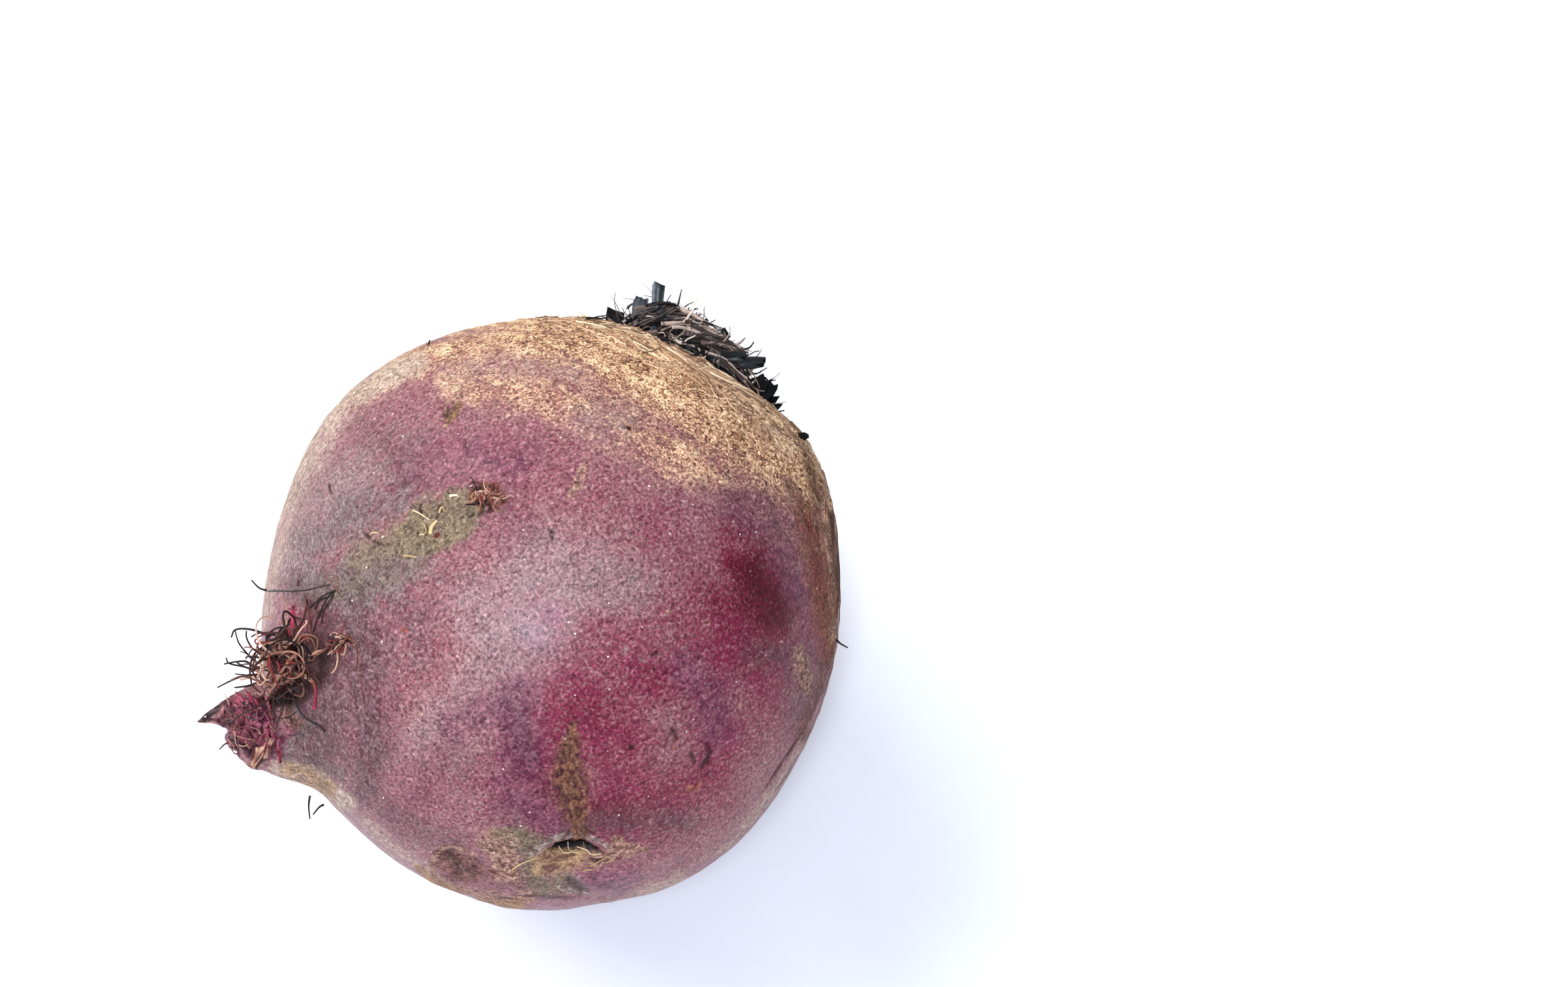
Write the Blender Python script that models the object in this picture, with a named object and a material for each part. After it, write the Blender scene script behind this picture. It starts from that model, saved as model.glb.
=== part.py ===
"""A beetroot lying on its side: the swollen root with its taproot stump, the shredded leaf stubs on
its crown and the tuft of rootlets beside the stump. Metres, +Z up, the rest face's centre at the origin."""

import math
import random

import bmesh
import bpy
import numpy as np
from mathutils import Matrix, Vector, noise

MM = 0.001

# Driving dimensions in millimetres and degrees. A direction is an azimuth and an elevation, as seen
# from the centre of the globe.
GLOBE_RADIUS = 44.3
CENTRE_HEIGHT = 43.6            # lower than the radius, which leaves the flat that it rests on
CROWN_DIRECTION = (21.3, 14.9)
CROWN_PLATE_DISTANCE = 41.8
NECK_RADIUS = 12.5
NECK_HEIGHT = 2.2
COLLAR_GROOVE = 0.7             # depth of the ring groove round the neck
STUMP_DIRECTION = (171.7, 9.5)
STUMP_REACH = 50.6
STUMP_FALL = 0.00125            # drop of its end for the fourth power of a degree off its axis
STUMP_ROUGHNESS = 0.7
STUMP_TIP_DIRECTION = (166.3, 9.2)
STUMP_TIP_REACH = 54.4
STUMP_TIP_FALL = 2.4            # drop for each degree off its axis
SKIRT_DIRECTION = (176.3, 6.0)
SKIRT_HEIGHT = 5.0
SKIRT_WIDTH = 6.5
LUMP_HEIGHT = 0.35              # soft unevenness of the skin
NODE_GAP = 0.35                 # between the root and the tufts on it

# Broad swellings and hollows of the root: azimuth, elevation, height
LOBES = (
    (-9, 19, 3.2),
    (36, 36, 1.2),
    (98, 35, 1.1),
    (136, 20, -1.6),
    (153, 10, -0.4),
    (-172, -9, -1.3),
    (-96, -20, 1.0),
    (-59, -9, -0.6),
    (70, -30, 0.7),
)
LOBE_WIDTH = 22.0

# Local dents and welts of the healed injury low on the front: azimuth, elevation, height, width
INJURY = (
    (-119.0, 14.4, -2.0, 3.0),
    (-123.0, 13.4, -1.0, 2.8),
    (-118.5, 19.5, 0.7, 4.0),
    (-121.0, 6.0, -0.7, 5.0),
    (-133.0, 3.0, 0.6, 6.0),
    (-105.0, 3.0, 0.5, 5.0),
    (-116.0, -24.0, -0.9, 4.5),
)

ROOT_COLUMNS = 70
FRONT_DIRECTION = (-116.0, 45.0)
FRONT_CROWDING = 0.26           # how much closer the columns stand at the front


def unit(azimuth, elevation):
    azimuth, elevation = math.radians(azimuth), math.radians(elevation)
    level = math.cos(elevation)
    return np.array([level * math.cos(azimuth), level * math.sin(azimuth), math.sin(elevation)])


def square_to(axis, towards):
    """The unit vector square to the axis that leans most towards the other vector."""
    across = towards - axis * (towards @ axis)
    return across / np.linalg.norm(across)


def ease(x):
    x = np.clip(x, 0.0, 1.0)
    return x * x * (3 - 2 * x)


def lower_of(a, b, blend):
    share = np.clip(0.5 + 0.5 * (b - a) / blend, 0.0, 1.0)
    return b * (1 - share) + a * share - blend * share * (1 - share)


def higher_of(a, b, blend):
    return -lower_of(-a, -b, blend)


def angle_from(directions, axis):
    return np.degrees(np.arccos(np.clip(directions @ axis, -1.0, 1.0)))


def hump(directions, axis, width):
    """1 on the axis, falling off as a bell of this width in degrees."""
    return np.exp(-(1 - directions @ axis) / (1 - math.cos(math.radians(width))))


CROWN = unit(*CROWN_DIRECTION)
STUMP = unit(*STUMP_DIRECTION)
CENTRE = np.array([0.0, 0.0, CENTRE_HEIGHT])


def lumps(directions, frequency, seed):
    """Soft noise between about -1 and 1 over the directions."""
    shift = Vector((seed * 7.31, seed * 3.17, seed * 5.73))
    return np.array([noise.noise(Vector(d) * frequency + shift) for d in directions])


def root_radius(directions):
    """Distance in millimetres of the root's skin from the globe's centre, along unit directions."""
    radius = np.full(len(directions), GLOBE_RADIUS)
    for azimuth, elevation, height in LOBES:
        radius += height * hump(directions, unit(azimuth, elevation), LOBE_WIDTH)
    radius += LUMP_HEIGHT * lumps(directions, 2.6, 1)
    for azimuth, elevation, height, width in INJURY:
        radius += height * hump(directions, unit(azimuth, elevation), width)

    # The crown: a flat plate with a low round neck on it
    from_crown = angle_from(directions, CROWN)
    cosine = np.maximum(np.cos(np.radians(from_crown)), 0.3)
    plate = np.where(from_crown < 70, CROWN_PLATE_DISTANCE / cosine, 1000.0)
    radius = lower_of(radius, plate, 1.5)
    out_from_axis = CROWN_PLATE_DISTANCE * np.tan(np.radians(np.minimum(from_crown, 70)))
    radius += NECK_HEIGHT * ease((NECK_RADIUS + 2.5 - out_from_axis) / 5.0)
    radius -= COLLAR_GROOVE * np.exp(-(((out_from_axis - NECK_RADIUS - 3.6) / 1.6) ** 2))

    # The taproot: a blunt torn stump on a low skirt, with a pointed tip at one side
    radius += SKIRT_HEIGHT * hump(directions, unit(*SKIRT_DIRECTION), SKIRT_WIDTH)
    stump = STUMP_REACH - STUMP_FALL * angle_from(directions, STUMP) ** 4
    stump += STUMP_ROUGHNESS * lumps(directions, 34.0, 3) * hump(directions, STUMP, 7.0)
    radius = higher_of(radius, stump, 2.0)
    tip = STUMP_TIP_REACH - STUMP_TIP_FALL * angle_from(directions, unit(*STUMP_TIP_DIRECTION))
    return higher_of(radius, tip, 0.8)


def on_root(directions, lift=0.0):
    """Points in metres over the skin of the root, lifted off it by so many millimetres."""
    directions = np.atleast_2d(directions)
    reach = root_radius(directions) + lift
    return (CENTRE + directions * reach[:, None]) * MM


def new_object(name, vertices, faces):
    mesh = bpy.data.meshes.new(name)
    mesh.from_pydata([tuple(v) for v in vertices], [], faces)
    obj = bpy.data.objects.new(name, mesh)
    bpy.context.scene.collection.objects.link(obj)
    return obj


def face_outward(bm):
    bmesh.ops.recalc_face_normals(bm, faces=bm.faces)


def finish(obj, color, roughness):
    """Gives a solid its own material and smooth faces."""
    material = bpy.data.materials.new(obj.name)
    material.use_nodes = True
    shader = material.node_tree.nodes["Principled BSDF"]
    shader.inputs["Base Color"].default_value = (*color, 1.0)
    shader.inputs["Roughness"].default_value = roughness
    shader.inputs["Metallic"].default_value = 0.0
    material.diffuse_color = (*color, 1.0)
    obj.data.materials.clear()
    obj.data.materials.append(material)
    obj.data.polygons.foreach_set("use_smooth", [True] * len(obj.data.polygons))


def turned_about(points, axis, angle):
    """The points turned about an axis through the origin."""
    turn = np.array(Matrix.Rotation(angle, 3, Vector(axis)))
    return points @ turn.T


def root_shell(name, lift=0.0):
    """The whole skin, lifted off the root by so many millimetres: rings of points from the crown's pole
    to the stump's, which follow the bent axis of the root."""
    rows = np.concatenate(
        [
            np.linspace(0, 28, 11)[1:],
            np.linspace(28, 164, 30)[1:],
            np.linspace(164, 180, 13)[1:-1],
        ]
    )
    turns = np.linspace(0, 2 * math.pi, ROOT_COLUMNS, endpoint=False)
    turns = turns - FRONT_CROWDING * np.sin(turns)
    front = square_to(CROWN, unit(*FRONT_DIRECTION))
    side = np.cross(CROWN, front)
    bend_axis = np.cross(-CROWN, STUMP)
    bend_axis /= np.linalg.norm(bend_axis)
    bend = math.acos(-CROWN @ STUMP)

    directions = [CROWN[None, :]]
    for row in rows:
        polar = math.radians(row)
        around = np.cos(turns)[:, None] * front + np.sin(turns)[:, None] * side
        ring = math.cos(polar) * CROWN + math.sin(polar) * around
        directions.append(turned_about(ring, bend_axis, bend * float(ease(row / 180))))
    directions.append(STUMP[None, :])
    directions = np.vstack(directions)

    count, last = ROOT_COLUMNS, len(directions) - 1
    faces = []
    for i in range(count):
        j = (i + 1) % count
        faces.append((0, 1 + i, 1 + j))
        for row in range(len(rows) - 1):
            a, b = 1 + row * count, 1 + (row + 1) * count
            faces.append((a + i, b + i, b + j, a + j))
        end = 1 + (len(rows) - 1) * count
        faces.append((end + i, last, end + j))
    return new_object(name, on_root(directions, lift), faces)


def build_root():
    root = root_shell("root")

    # The flat that it rests on
    bm = bmesh.new()
    bm.from_mesh(root.data)
    bmesh.ops.bisect_plane(
        bm,
        geom=[*bm.verts, *bm.edges, *bm.faces],
        plane_co=(0, 0, 0),
        plane_no=(0, 0, -1),
        clear_outer=True,
    )
    bmesh.ops.remove_doubles(bm, verts=bm.verts, dist=0.00008)
    rim = [edge for edge in bm.edges if edge.is_boundary]
    for vertex in {v for edge in rim for v in edge.verts}:
        vertex.co.z = 0.0
    bmesh.ops.holes_fill(bm, edges=rim, sides=0)
    face_outward(bm)
    bm.to_mesh(root.data)
    bm.free()
    return root


def pad(name, axis, spread, thickness, rim, rings, columns):
    """A low round pad that lies over the root with a gap under it: its top carries the small repeats.
    spread is its radius in degrees, thickness and rim are its heights at the middle and at the edge."""
    first = square_to(axis, np.array([0.0, 0.0, 1.0]))
    second = np.cross(axis, first)
    directions, heights = [axis], [thickness]
    for ring in range(1, rings + 1):
        share = ring / rings
        for column in range(columns):
            turn = 2 * math.pi * column / columns
            wobble = 1 + 0.12 * math.sin(3 * turn + 1) + 0.08 * math.sin(7 * turn)
            polar = math.radians(spread * share * (1 + (wobble - 1) * share))
            around = math.cos(turn) * first + math.sin(turn) * second
            directions.append(math.cos(polar) * axis + math.sin(polar) * around)
            heights.append(rim + (thickness - rim) * float(ease(1.15 * (1 - share))))
    directions = np.array(directions)
    heights = np.array(heights)
    top = on_root(directions, NODE_GAP + heights)
    bottom = on_root(directions, NODE_GAP)
    size = len(directions)
    faces = []
    for i in range(columns):
        j = (i + 1) % columns
        faces += [(0, 1 + i, 1 + j), (size, size + 1 + j, size + 1 + i)]
        for ring in range(rings - 1):
            a, b = 1 + ring * columns, 1 + (ring + 1) * columns
            faces.append((a + i, b + i, b + j, a + j))
            faces.append((size + a + j, size + b + j, size + b + i, size + a + i))
        rim_start = 1 + (rings - 1) * columns
        lower, upper = size + rim_start, rim_start
        faces.append((upper + i, lower + i, lower + j, upper + j))
    piece = new_object(name, np.vstack([top, bottom]), faces)
    bm = bmesh.new()
    bm.from_mesh(piece.data)
    face_outward(bm)
    bm.to_mesh(piece.data)
    bm.free()
    return piece


def kept_off_root(point, clearance):
    """The point, moved out along its line from the globe's centre until it clears the skin."""
    offset = point - CENTRE
    distance = np.linalg.norm(offset)
    direction = offset / distance
    least = float(root_radius(direction[None, :])[0]) + NODE_GAP + clearance
    return CENTRE + direction * max(distance, least)


def lofted(name, sections):
    """A closed tube through sections with equal counts of points."""
    count = len(sections[0])
    end = (len(sections) - 1) * count
    faces = [tuple(range(count)), tuple(range(end, end + count))]
    for k in range(len(sections) - 1):
        a, b = k * count, (k + 1) * count
        for i in range(count):
            j = (i + 1) % count
            faces.append((a + i, b + i, b + j, a + j))
    piece = new_object(name, np.vstack(sections) * MM, faces)
    bm = bmesh.new()
    bm.from_mesh(piece.data)
    face_outward(bm)
    bmesh.ops.triangulate(bm, faces=bm.faces)
    bm.to_mesh(piece.data)
    bm.free()
    return piece


def fibre(name, path, thickness, taper, sides):
    """A round strand along a path, with its ends cut square."""
    sections = []
    across = None
    for k, point in enumerate(path):
        ahead = path[min(k + 1, len(path) - 1)] - path[max(k - 1, 0)]
        ahead = ahead / np.linalg.norm(ahead)
        seed = across if across is not None else np.array([0.31, 0.62, 0.72])
        across = square_to(ahead, seed)
        other = np.cross(ahead, across)
        radius = 0.5 * thickness * (1 - (1 - taper) * k / (len(path) - 1))
        turns = [2 * math.pi * i / sides for i in range(sides)]
        sections.append(
            np.array([point + radius * (math.cos(a) * across + math.sin(a) * other) for a in turns])
        )
    return lofted(name, sections)


def blade(name, base, lean, wide, length, width, thickness, droop, rng):
    """A torn strip of leaf stalk: hollow on its inner side, ragged at its end, bowed by its droop."""
    steps = 4
    sections = []
    point = base.copy()
    lean = lean / np.linalg.norm(lean)
    wide = square_to(lean, wide)
    for k in range(steps):
        share = k / (steps - 1)
        hollow = np.cross(wide, lean)
        half = 0.5 * width * (1.0 - 0.28 * share + 0.12 * math.sin(5 * share + width))
        deep = 0.5 * thickness * (1 - 0.15 * share)
        bow = 0.22 * width
        section = []
        for x, y in ((-1, -1), (0, -1), (1, -1), (1, 1), (0, 1), (-1, 1)):
            ragged = 0.0
            if k == steps - 1:
                ragged = rng.uniform(-0.2, 0.12) * length * (1 if x else 1.5)
            section.append(
                point + wide * x * half + hollow * (y * deep - bow * (1 - x * x)) + lean * ragged
            )
        sections.append(np.array(section))
        point = point + lean * length / (steps - 1)
        lean = lean + droop * hollow / (steps - 1)
        lean = lean / np.linalg.norm(lean)
        wide = square_to(lean, wide)
    return lofted(name, sections)


def fused(name, pieces):
    """One closed body out of pieces that overlap, with nothing of it nearer to the root than the gap."""
    base, others = pieces[0], pieces[1:]
    shell = root_shell("clearance", NODE_GAP - 0.1)
    collection = bpy.data.collections.new(name + "_pieces")
    bpy.context.scene.collection.children.link(collection)
    for piece in others:
        bpy.context.scene.collection.objects.unlink(piece)
        collection.objects.link(piece)
    join = base.modifiers.new("fuse", "BOOLEAN")
    join.operation = "UNION"
    join.operand_type = "COLLECTION"
    join.solver = "MANIFOLD"
    join.collection = collection
    trim = base.modifiers.new("clear the root", "BOOLEAN")
    trim.operation = "DIFFERENCE"
    trim.solver = "MANIFOLD"
    trim.object = shell
    graph = bpy.context.evaluated_depsgraph_get()
    mesh = bpy.data.meshes.new_from_object(base.evaluated_get(graph))
    for piece in [*pieces, shell]:
        bpy.data.objects.remove(piece)
    bpy.data.collections.remove(collection)
    mesh.name = name
    obj = bpy.data.objects.new(name, mesh)
    bpy.context.scene.collection.objects.link(obj)
    return obj


def build_leaf_stubs():
    """Withered, torn leaf stalks in rings round the neck, leaning outward, with thin spikes between."""
    rng = random.Random(11)
    across = square_to(CROWN, unit(-59.0, 8.0))
    toward = np.cross(across, CROWN)
    pieces = [pad("stub_pad", CROWN, 18.5, 2.4, 1.4, 5, 26)]

    def stand(x, y, sink=0.75):
        """The point where a stalk starts, inside the pad, at x across the crown and y toward the front."""
        offset = CROWN * CROWN_PLATE_DISTANCE + across * x + toward * y
        direction = offset / np.linalg.norm(offset)
        reach = float(root_radius(direction[None, :])[0]) + NODE_GAP + sink
        return CENTRE + direction * reach

    def add(x, y, lean_x, lean_y, length, width, thickness, droop, twist=0.0):
        radial = across * math.sin(math.radians(lean_x)) + toward * math.sin(math.radians(lean_y))
        lean = CROWN * max(0.2, math.sqrt(max(0.0, 1 - radial @ radial))) + radial
        outward = across * x + toward * y + 0.01 * across
        wide = np.cross(CROWN, outward / np.linalg.norm(outward))
        wide = turned_about(wide, CROWN, twist)
        name = "stub%02d" % len(pieces)
        pieces.append(blade(name, stand(x, y), lean, wide, length, width, thickness, droop, rng))

    # The stalks that stand out: a tall square-ended one, a broad one beside it, one lying to the left,
    # the broad one lying to the right, the black clump and the last tab
    add(-10.6, 2.0, -4, 6, 9.6, 2.5, 1.0, -0.1, twist=1.35)
    add(-10.8, 4.2, -24, 4, 6.6, 4.0, 1.1, 0.1, twist=1.2)
    add(-12.0, 3.6, -52, 10, 5.8, 3.6, 1.1, 0.1, twist=1.3)
    add(0.6, 9.2, 64, 14, 9.6, 3.4, 1.2, 0.05, twist=1.2)
    add(9.6, 4.4, 34, 10, 5.6, 4.6, 1.6, 0.2, twist=0.8)
    add(11.8, 1.6, 44, 0, 4.4, 4.2, 1.6, 0.2, twist=0.4)

    for ring, (reach, count, lean, length) in enumerate(
        ((11.4, 12, 56, 4.4), (7.6, 10, 40, 4.8), (3.4, 5, 20, 5.2))
    ):
        for k in range(count):
            turn = 2 * math.pi * (k + 0.5 * ring) / count + rng.uniform(-0.18, 0.18)
            out = reach * rng.uniform(0.88, 1.08)
            tilt = lean * rng.uniform(0.75, 1.2)
            add(
                out * math.cos(turn),
                out * math.sin(turn),
                tilt * math.cos(turn),
                tilt * math.sin(turn),
                length * rng.uniform(0.7, 1.2),
                rng.uniform(2.4, 4.6),
                rng.uniform(0.9, 1.5),
                rng.uniform(-0.3, 0.5),
                rng.uniform(-0.5, 0.5),
            )

    # Thin spikes: the veins that are left of rotted stalks
    for k in range(10):
        turn = 2.4 * k + rng.uniform(-0.3, 0.3)
        out = rng.uniform(2.0, 11.5)
        start = stand(out * math.cos(turn), out * math.sin(turn), 0.9)
        lean = CROWN + rng.uniform(0.25, 0.95) * (across * math.cos(turn) + toward * math.sin(turn))
        lean = lean / np.linalg.norm(lean)
        curl = rng.uniform(-0.5, 0.5) * across + rng.uniform(-0.5, 0.5) * toward
        length = rng.uniform(4.8, 7.4)
        path = [start + lean * length * s + curl * length * s * s * 0.5 for s in (0, 0.5, 1.0)]
        pieces.append(fibre("spike%02d" % k, path, 1.0, 0.65, 4))
    return fused("leaf_stubs", pieces)


def build_rootlets():
    """A tangle of curled rootlets on a knot beside the stump, and a side tuft at the end of one of them."""
    rng = random.Random(5)
    knot = unit(175.0, 32.0)
    up = square_to(knot, np.array([0.0, 0.0, 1.0]))
    side = np.cross(up, knot)
    pieces = [pad("knot", knot, 4.6, 2.0, 0.9, 3, 13)]

    def start_at(x, y, height):
        direction = knot + (side * x + up * y) / GLOBE_RADIUS
        direction /= np.linalg.norm(direction)
        return CENTRE + direction * (float(root_radius(direction[None, :])[0]) + NODE_GAP + height)

    def strand(x, y, lean, length, thickness, curl, steps=6):
        """A strand whose direction turns a little, by the curl vector, at every step."""
        point = start_at(x, y, 1.0)
        heading = lean / np.linalg.norm(lean)
        path = [point]
        for _ in range(steps):
            point = point + heading * length / steps
            if len(path) > 1:
                point = kept_off_root(point, 0.5)
            path.append(point)
            heading = heading + np.cross(curl, heading)
            heading /= np.linalg.norm(heading)
        pieces.append(fibre("strand%02d" % len(pieces), path, thickness, 0.75, 4))

    for k in range(17):
        turn = 2.4 * k
        out = 0.62 * math.sqrt(k)
        x, y = out * math.cos(turn), out * math.sin(turn)
        splay = side * math.cos(turn) + up * math.sin(turn)
        lean = knot * rng.uniform(0.3, 1.0) + splay * rng.uniform(0.4, 1.1)
        curl = Vector((rng.uniform(-1, 1), rng.uniform(-1, 1), rng.uniform(-1, 1))).normalized()
        curl = np.array(curl) * rng.uniform(0.2, 0.55)
        strand(x, y, lean, rng.uniform(5.0, 8.5), rng.uniform(0.7, 0.85), curl)

    # Four long ones: two reach back over the skin, one curls down beside the stump, one stands off
    over = up * 0.72 - side * 0.66
    strand(0.3, 1.6, over + knot * 0.45, 9.5, 0.95, knot * 0.07)
    strand(-1.2, 1.4, over + knot * 0.6 - side * 0.2, 9.0, 0.75, knot * -0.06)
    strand(2.0, 0.4, side + knot * 0.5 + up * 0.1, 9.0, 1.0, knot * -0.14)
    strand(-1.0, -0.6, knot - side * 0.35 + up * 0.1, 10.5, 0.75, side * 0.1 + up * 0.12)

    # The strand that lies on the skin and carries the side tuft
    ends = [knot, unit(-172.5, 45.0)]
    path = []
    for k in range(8):
        share = k / 7
        direction = ends[0] * (1 - share) + ends[1] * share
        direction /= np.linalg.norm(direction)
        lift = NODE_GAP + 0.75 + 0.5 * math.sin(math.pi * share)
        path.append(CENTRE + direction * (float(root_radius(direction[None, :])[0]) + lift))
    pieces.append(fibre("runner", path, 1.3, 0.9, 5))
    tuft, out = path[-2], ends[1]
    flat = square_to(out, unit(-116.0, 20.0))
    for k in range(7):
        turn = 0.9 * k + rng.uniform(-0.2, 0.2)
        around = np.cos(turn) * flat + np.sin(turn) * np.cross(out, flat)
        lean = around * rng.uniform(0.6, 1.0) + out * rng.uniform(0.25, 0.7)
        lean /= np.linalg.norm(lean)
        length = rng.uniform(2.2, 4.0)
        bend = np.cross(out, around) * rng.uniform(-0.4, 0.4) * length
        points = [tuft + lean * length * s + bend * s * s for s in (0, 0.5, 1.0)]
        points = points[:1] + [kept_off_root(point, 0.45) for point in points[1:]]
        pieces.append(fibre("side%02d" % k, points, 0.8, 0.8, 4))
    return fused("rootlets", pieces)


def main():
    for obj in list(bpy.data.objects):
        bpy.data.objects.remove(obj)
    finish(build_root(), (0.205, 0.075, 0.093), 0.55)
    finish(build_leaf_stubs(), (0.036, 0.028, 0.028), 0.7)
    finish(build_rootlets(), (0.13, 0.055, 0.04), 0.65)


main()
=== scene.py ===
import random
from functools import partial
from math import acos, cos, pi, radians, sin, sqrt

import bpy
import numpy as np
from mathutils import Matrix, Vector, noise
from mathutils.bvhtree import BVHTree


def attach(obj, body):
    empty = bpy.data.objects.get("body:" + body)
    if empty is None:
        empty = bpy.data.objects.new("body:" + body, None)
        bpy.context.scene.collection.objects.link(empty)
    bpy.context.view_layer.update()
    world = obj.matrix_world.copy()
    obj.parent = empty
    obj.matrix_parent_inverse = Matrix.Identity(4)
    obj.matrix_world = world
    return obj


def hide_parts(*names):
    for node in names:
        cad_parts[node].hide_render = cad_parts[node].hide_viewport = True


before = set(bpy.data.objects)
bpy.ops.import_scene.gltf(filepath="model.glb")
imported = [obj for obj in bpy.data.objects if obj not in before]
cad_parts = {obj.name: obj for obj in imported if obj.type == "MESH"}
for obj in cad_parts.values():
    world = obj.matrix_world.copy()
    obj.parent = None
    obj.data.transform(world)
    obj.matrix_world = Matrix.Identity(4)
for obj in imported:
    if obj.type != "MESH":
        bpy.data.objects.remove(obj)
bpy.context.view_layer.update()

mm = 0.001


def unit(azimuth, elevation):
    azimuth, elevation = radians(azimuth), radians(elevation)
    level = cos(elevation)
    return np.array([level * cos(azimuth), level * sin(azimuth), sin(elevation)])


def normalised(vector):
    return vector / np.linalg.norm(vector)


def squareTo(axis, towards):  # unit vector square to the axis, leaning most towards the other one
    return normalised(towards - axis * (towards @ axis))


def ease(x):
    x = np.clip(x, 0.0, 1.0)
    return x * x * (3 - 2 * x)


def lowerOf(a, b, blend):
    share = np.clip(0.5 + 0.5 * (b - a) / blend, 0.0, 1.0)
    return b * (1 - share) + a * share - blend * share * (1 - share)


def higherOf(a, b, blend):
    return -lowerOf(-a, -b, blend)


def turnedAbout(points, axis, angle):
    return points @ np.array(Matrix.Rotation(angle, 3, Vector(axis))).T


def linear(hexColour):  # sRGB hex to the linear colour that a shader takes
    values = [int(hexColour[i:i + 2], 16) / 255 for i in (1, 3, 5)]
    return (*[v / 12.92 if v <= 0.04045 else ((v + 0.055) / 1.055) ** 2.4 for v in values], 1.0)


def setInputs(node, inputs):  # each input gets a number, a colour's hex, or a node or socket to link
    for key, value in inputs.items():
        if isinstance(value, bpy.types.Node):  # its main output
            value = next(socket for socket in value.outputs if socket.enabled)
        if isinstance(value, bpy.types.NodeSocket):
            node.id_data.links.new(value, node.inputs[key])
        else:
            node.inputs[key].default_value = linear(value) if isinstance(value, str) else value


def addNode(tree, kind, inputs=None, stops=None, **settings):  # adds a node with its settings and links
    node = tree.nodes.new("ShaderNode" + kind)
    for name, value in settings.items():
        setattr(node, name, value)
    if stops:  # the stops of a colour ramp
        ramp = node.color_ramp.elements
        while len(ramp) < len(stops):
            ramp.new(0.5)
        for element, (position, colour) in zip(ramp, stops):
            element.position = position
            element.color = linear(colour)
    setInputs(node, inputs or {})
    return node


def newMaterial(name):
    material = bpy.data.materials.new(name)
    material.use_nodes = True
    return material, partial(addNode, material.node_tree), material.node_tree.nodes["Principled BSDF"]


# settings that many nodes share
soft = {"interpolation_type": "SMOOTHSTEP"}
blend = {"data_type": "RGBA"}
addUp = {"operation": "MULTIPLY_ADD"}
product = {"operation": "MULTIPLY"}


# The camera stands where the photograph was taken from
shot = {
    "width": 2408, "height": 1516,  # the photograph's pixels
    "lens": 45.0, "sensor": 36.0,  # mm
    "turn": -39.0, "pitch": 56.5,  # degrees: heading about Z, and how far it looks down
    "eye": (-67.07, -139.72, 304.76),  # mm
}


def makeCamera():
    data = bpy.data.cameras.new("shotCamera")
    data.lens = shot["lens"]
    data.sensor_width = shot["sensor"]
    data.clip_start = 0.01
    data.dof.use_dof = False
    camera = bpy.data.objects.new("shotCamera", data)
    camera.location = [value * mm for value in shot["eye"]]
    camera.rotation_euler = (radians(90 - shot["pitch"]), 0, radians(shot["turn"]))
    bpy.context.scene.collection.objects.link(camera)
    bpy.context.scene.camera = camera


makeCamera()
print("camera placed")


# The same values as the CAD solid's, in millimetres and degrees
globe = {
    "radius": 44.3, "height": 43.6,
    "crown": unit(21.3, 14.9), "plate": 41.8, "plateSpan": 70, "plateBlend": 1.5,
    "neckRadius": 12.5, "neckHeight": 2.2, "neckSlope": 5.0,
    "groove": 0.7, "grooveAway": 3.6, "grooveWidth": 1.6,
    "stump": unit(171.7, 9.5), "stumpReach": 50.6, "stumpFall": 0.00125, "stumpBlend": 2.0,
    "stumpRough": 0.7, "roughWidth": 7.0, "roughPerRadius": 34.0,
    "tip": unit(166.3, 9.2), "tipReach": 54.4, "tipFall": 2.4, "tipBlend": 0.8,
    "skirt": unit(176.3, 6.0), "skirtHeight": 5.0, "skirtWidth": 6.5,
    "lobeWidth": 22.0, "lumps": 0.35, "lumpsPerRadius": 2.6,
    "lobes": [(-9, 19, 3.2), (36, 36, 1.2), (98, 35, 1.1), (136, 20, -1.6), (153, 10, -0.4),
              (-172, -9, -1.3), (-96, -20, 1.0), (-59, -9, -0.6), (70, -30, 0.7)],
    "injury": [(-119, 14.4, -2.0, 3.0), (-123, 13.4, -1.0, 2.8), (-118.5, 19.5, 0.7, 4.0),
               (-121, 6, -0.7, 5.0), (-133, 3, 0.6, 6.0), (-105, 3, 0.5, 5.0),
               (-116, -24, -0.9, 4.5)],
}
centre = np.array([0.0, 0.0, globe["height"]])


def angleFrom(directions, axis):
    return np.degrees(np.arccos(np.clip(directions @ axis, -1.0, 1.0)))


def hump(directions, axis, width):
    return np.exp(-(1 - directions @ axis) / (1 - cos(radians(width))))


def lumps(directions, frequency, seed):
    shift = Vector((seed * 7.31, seed * 3.17, seed * 5.73))
    return np.array([noise.noise(Vector(d) * frequency + shift) for d in directions])


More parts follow.
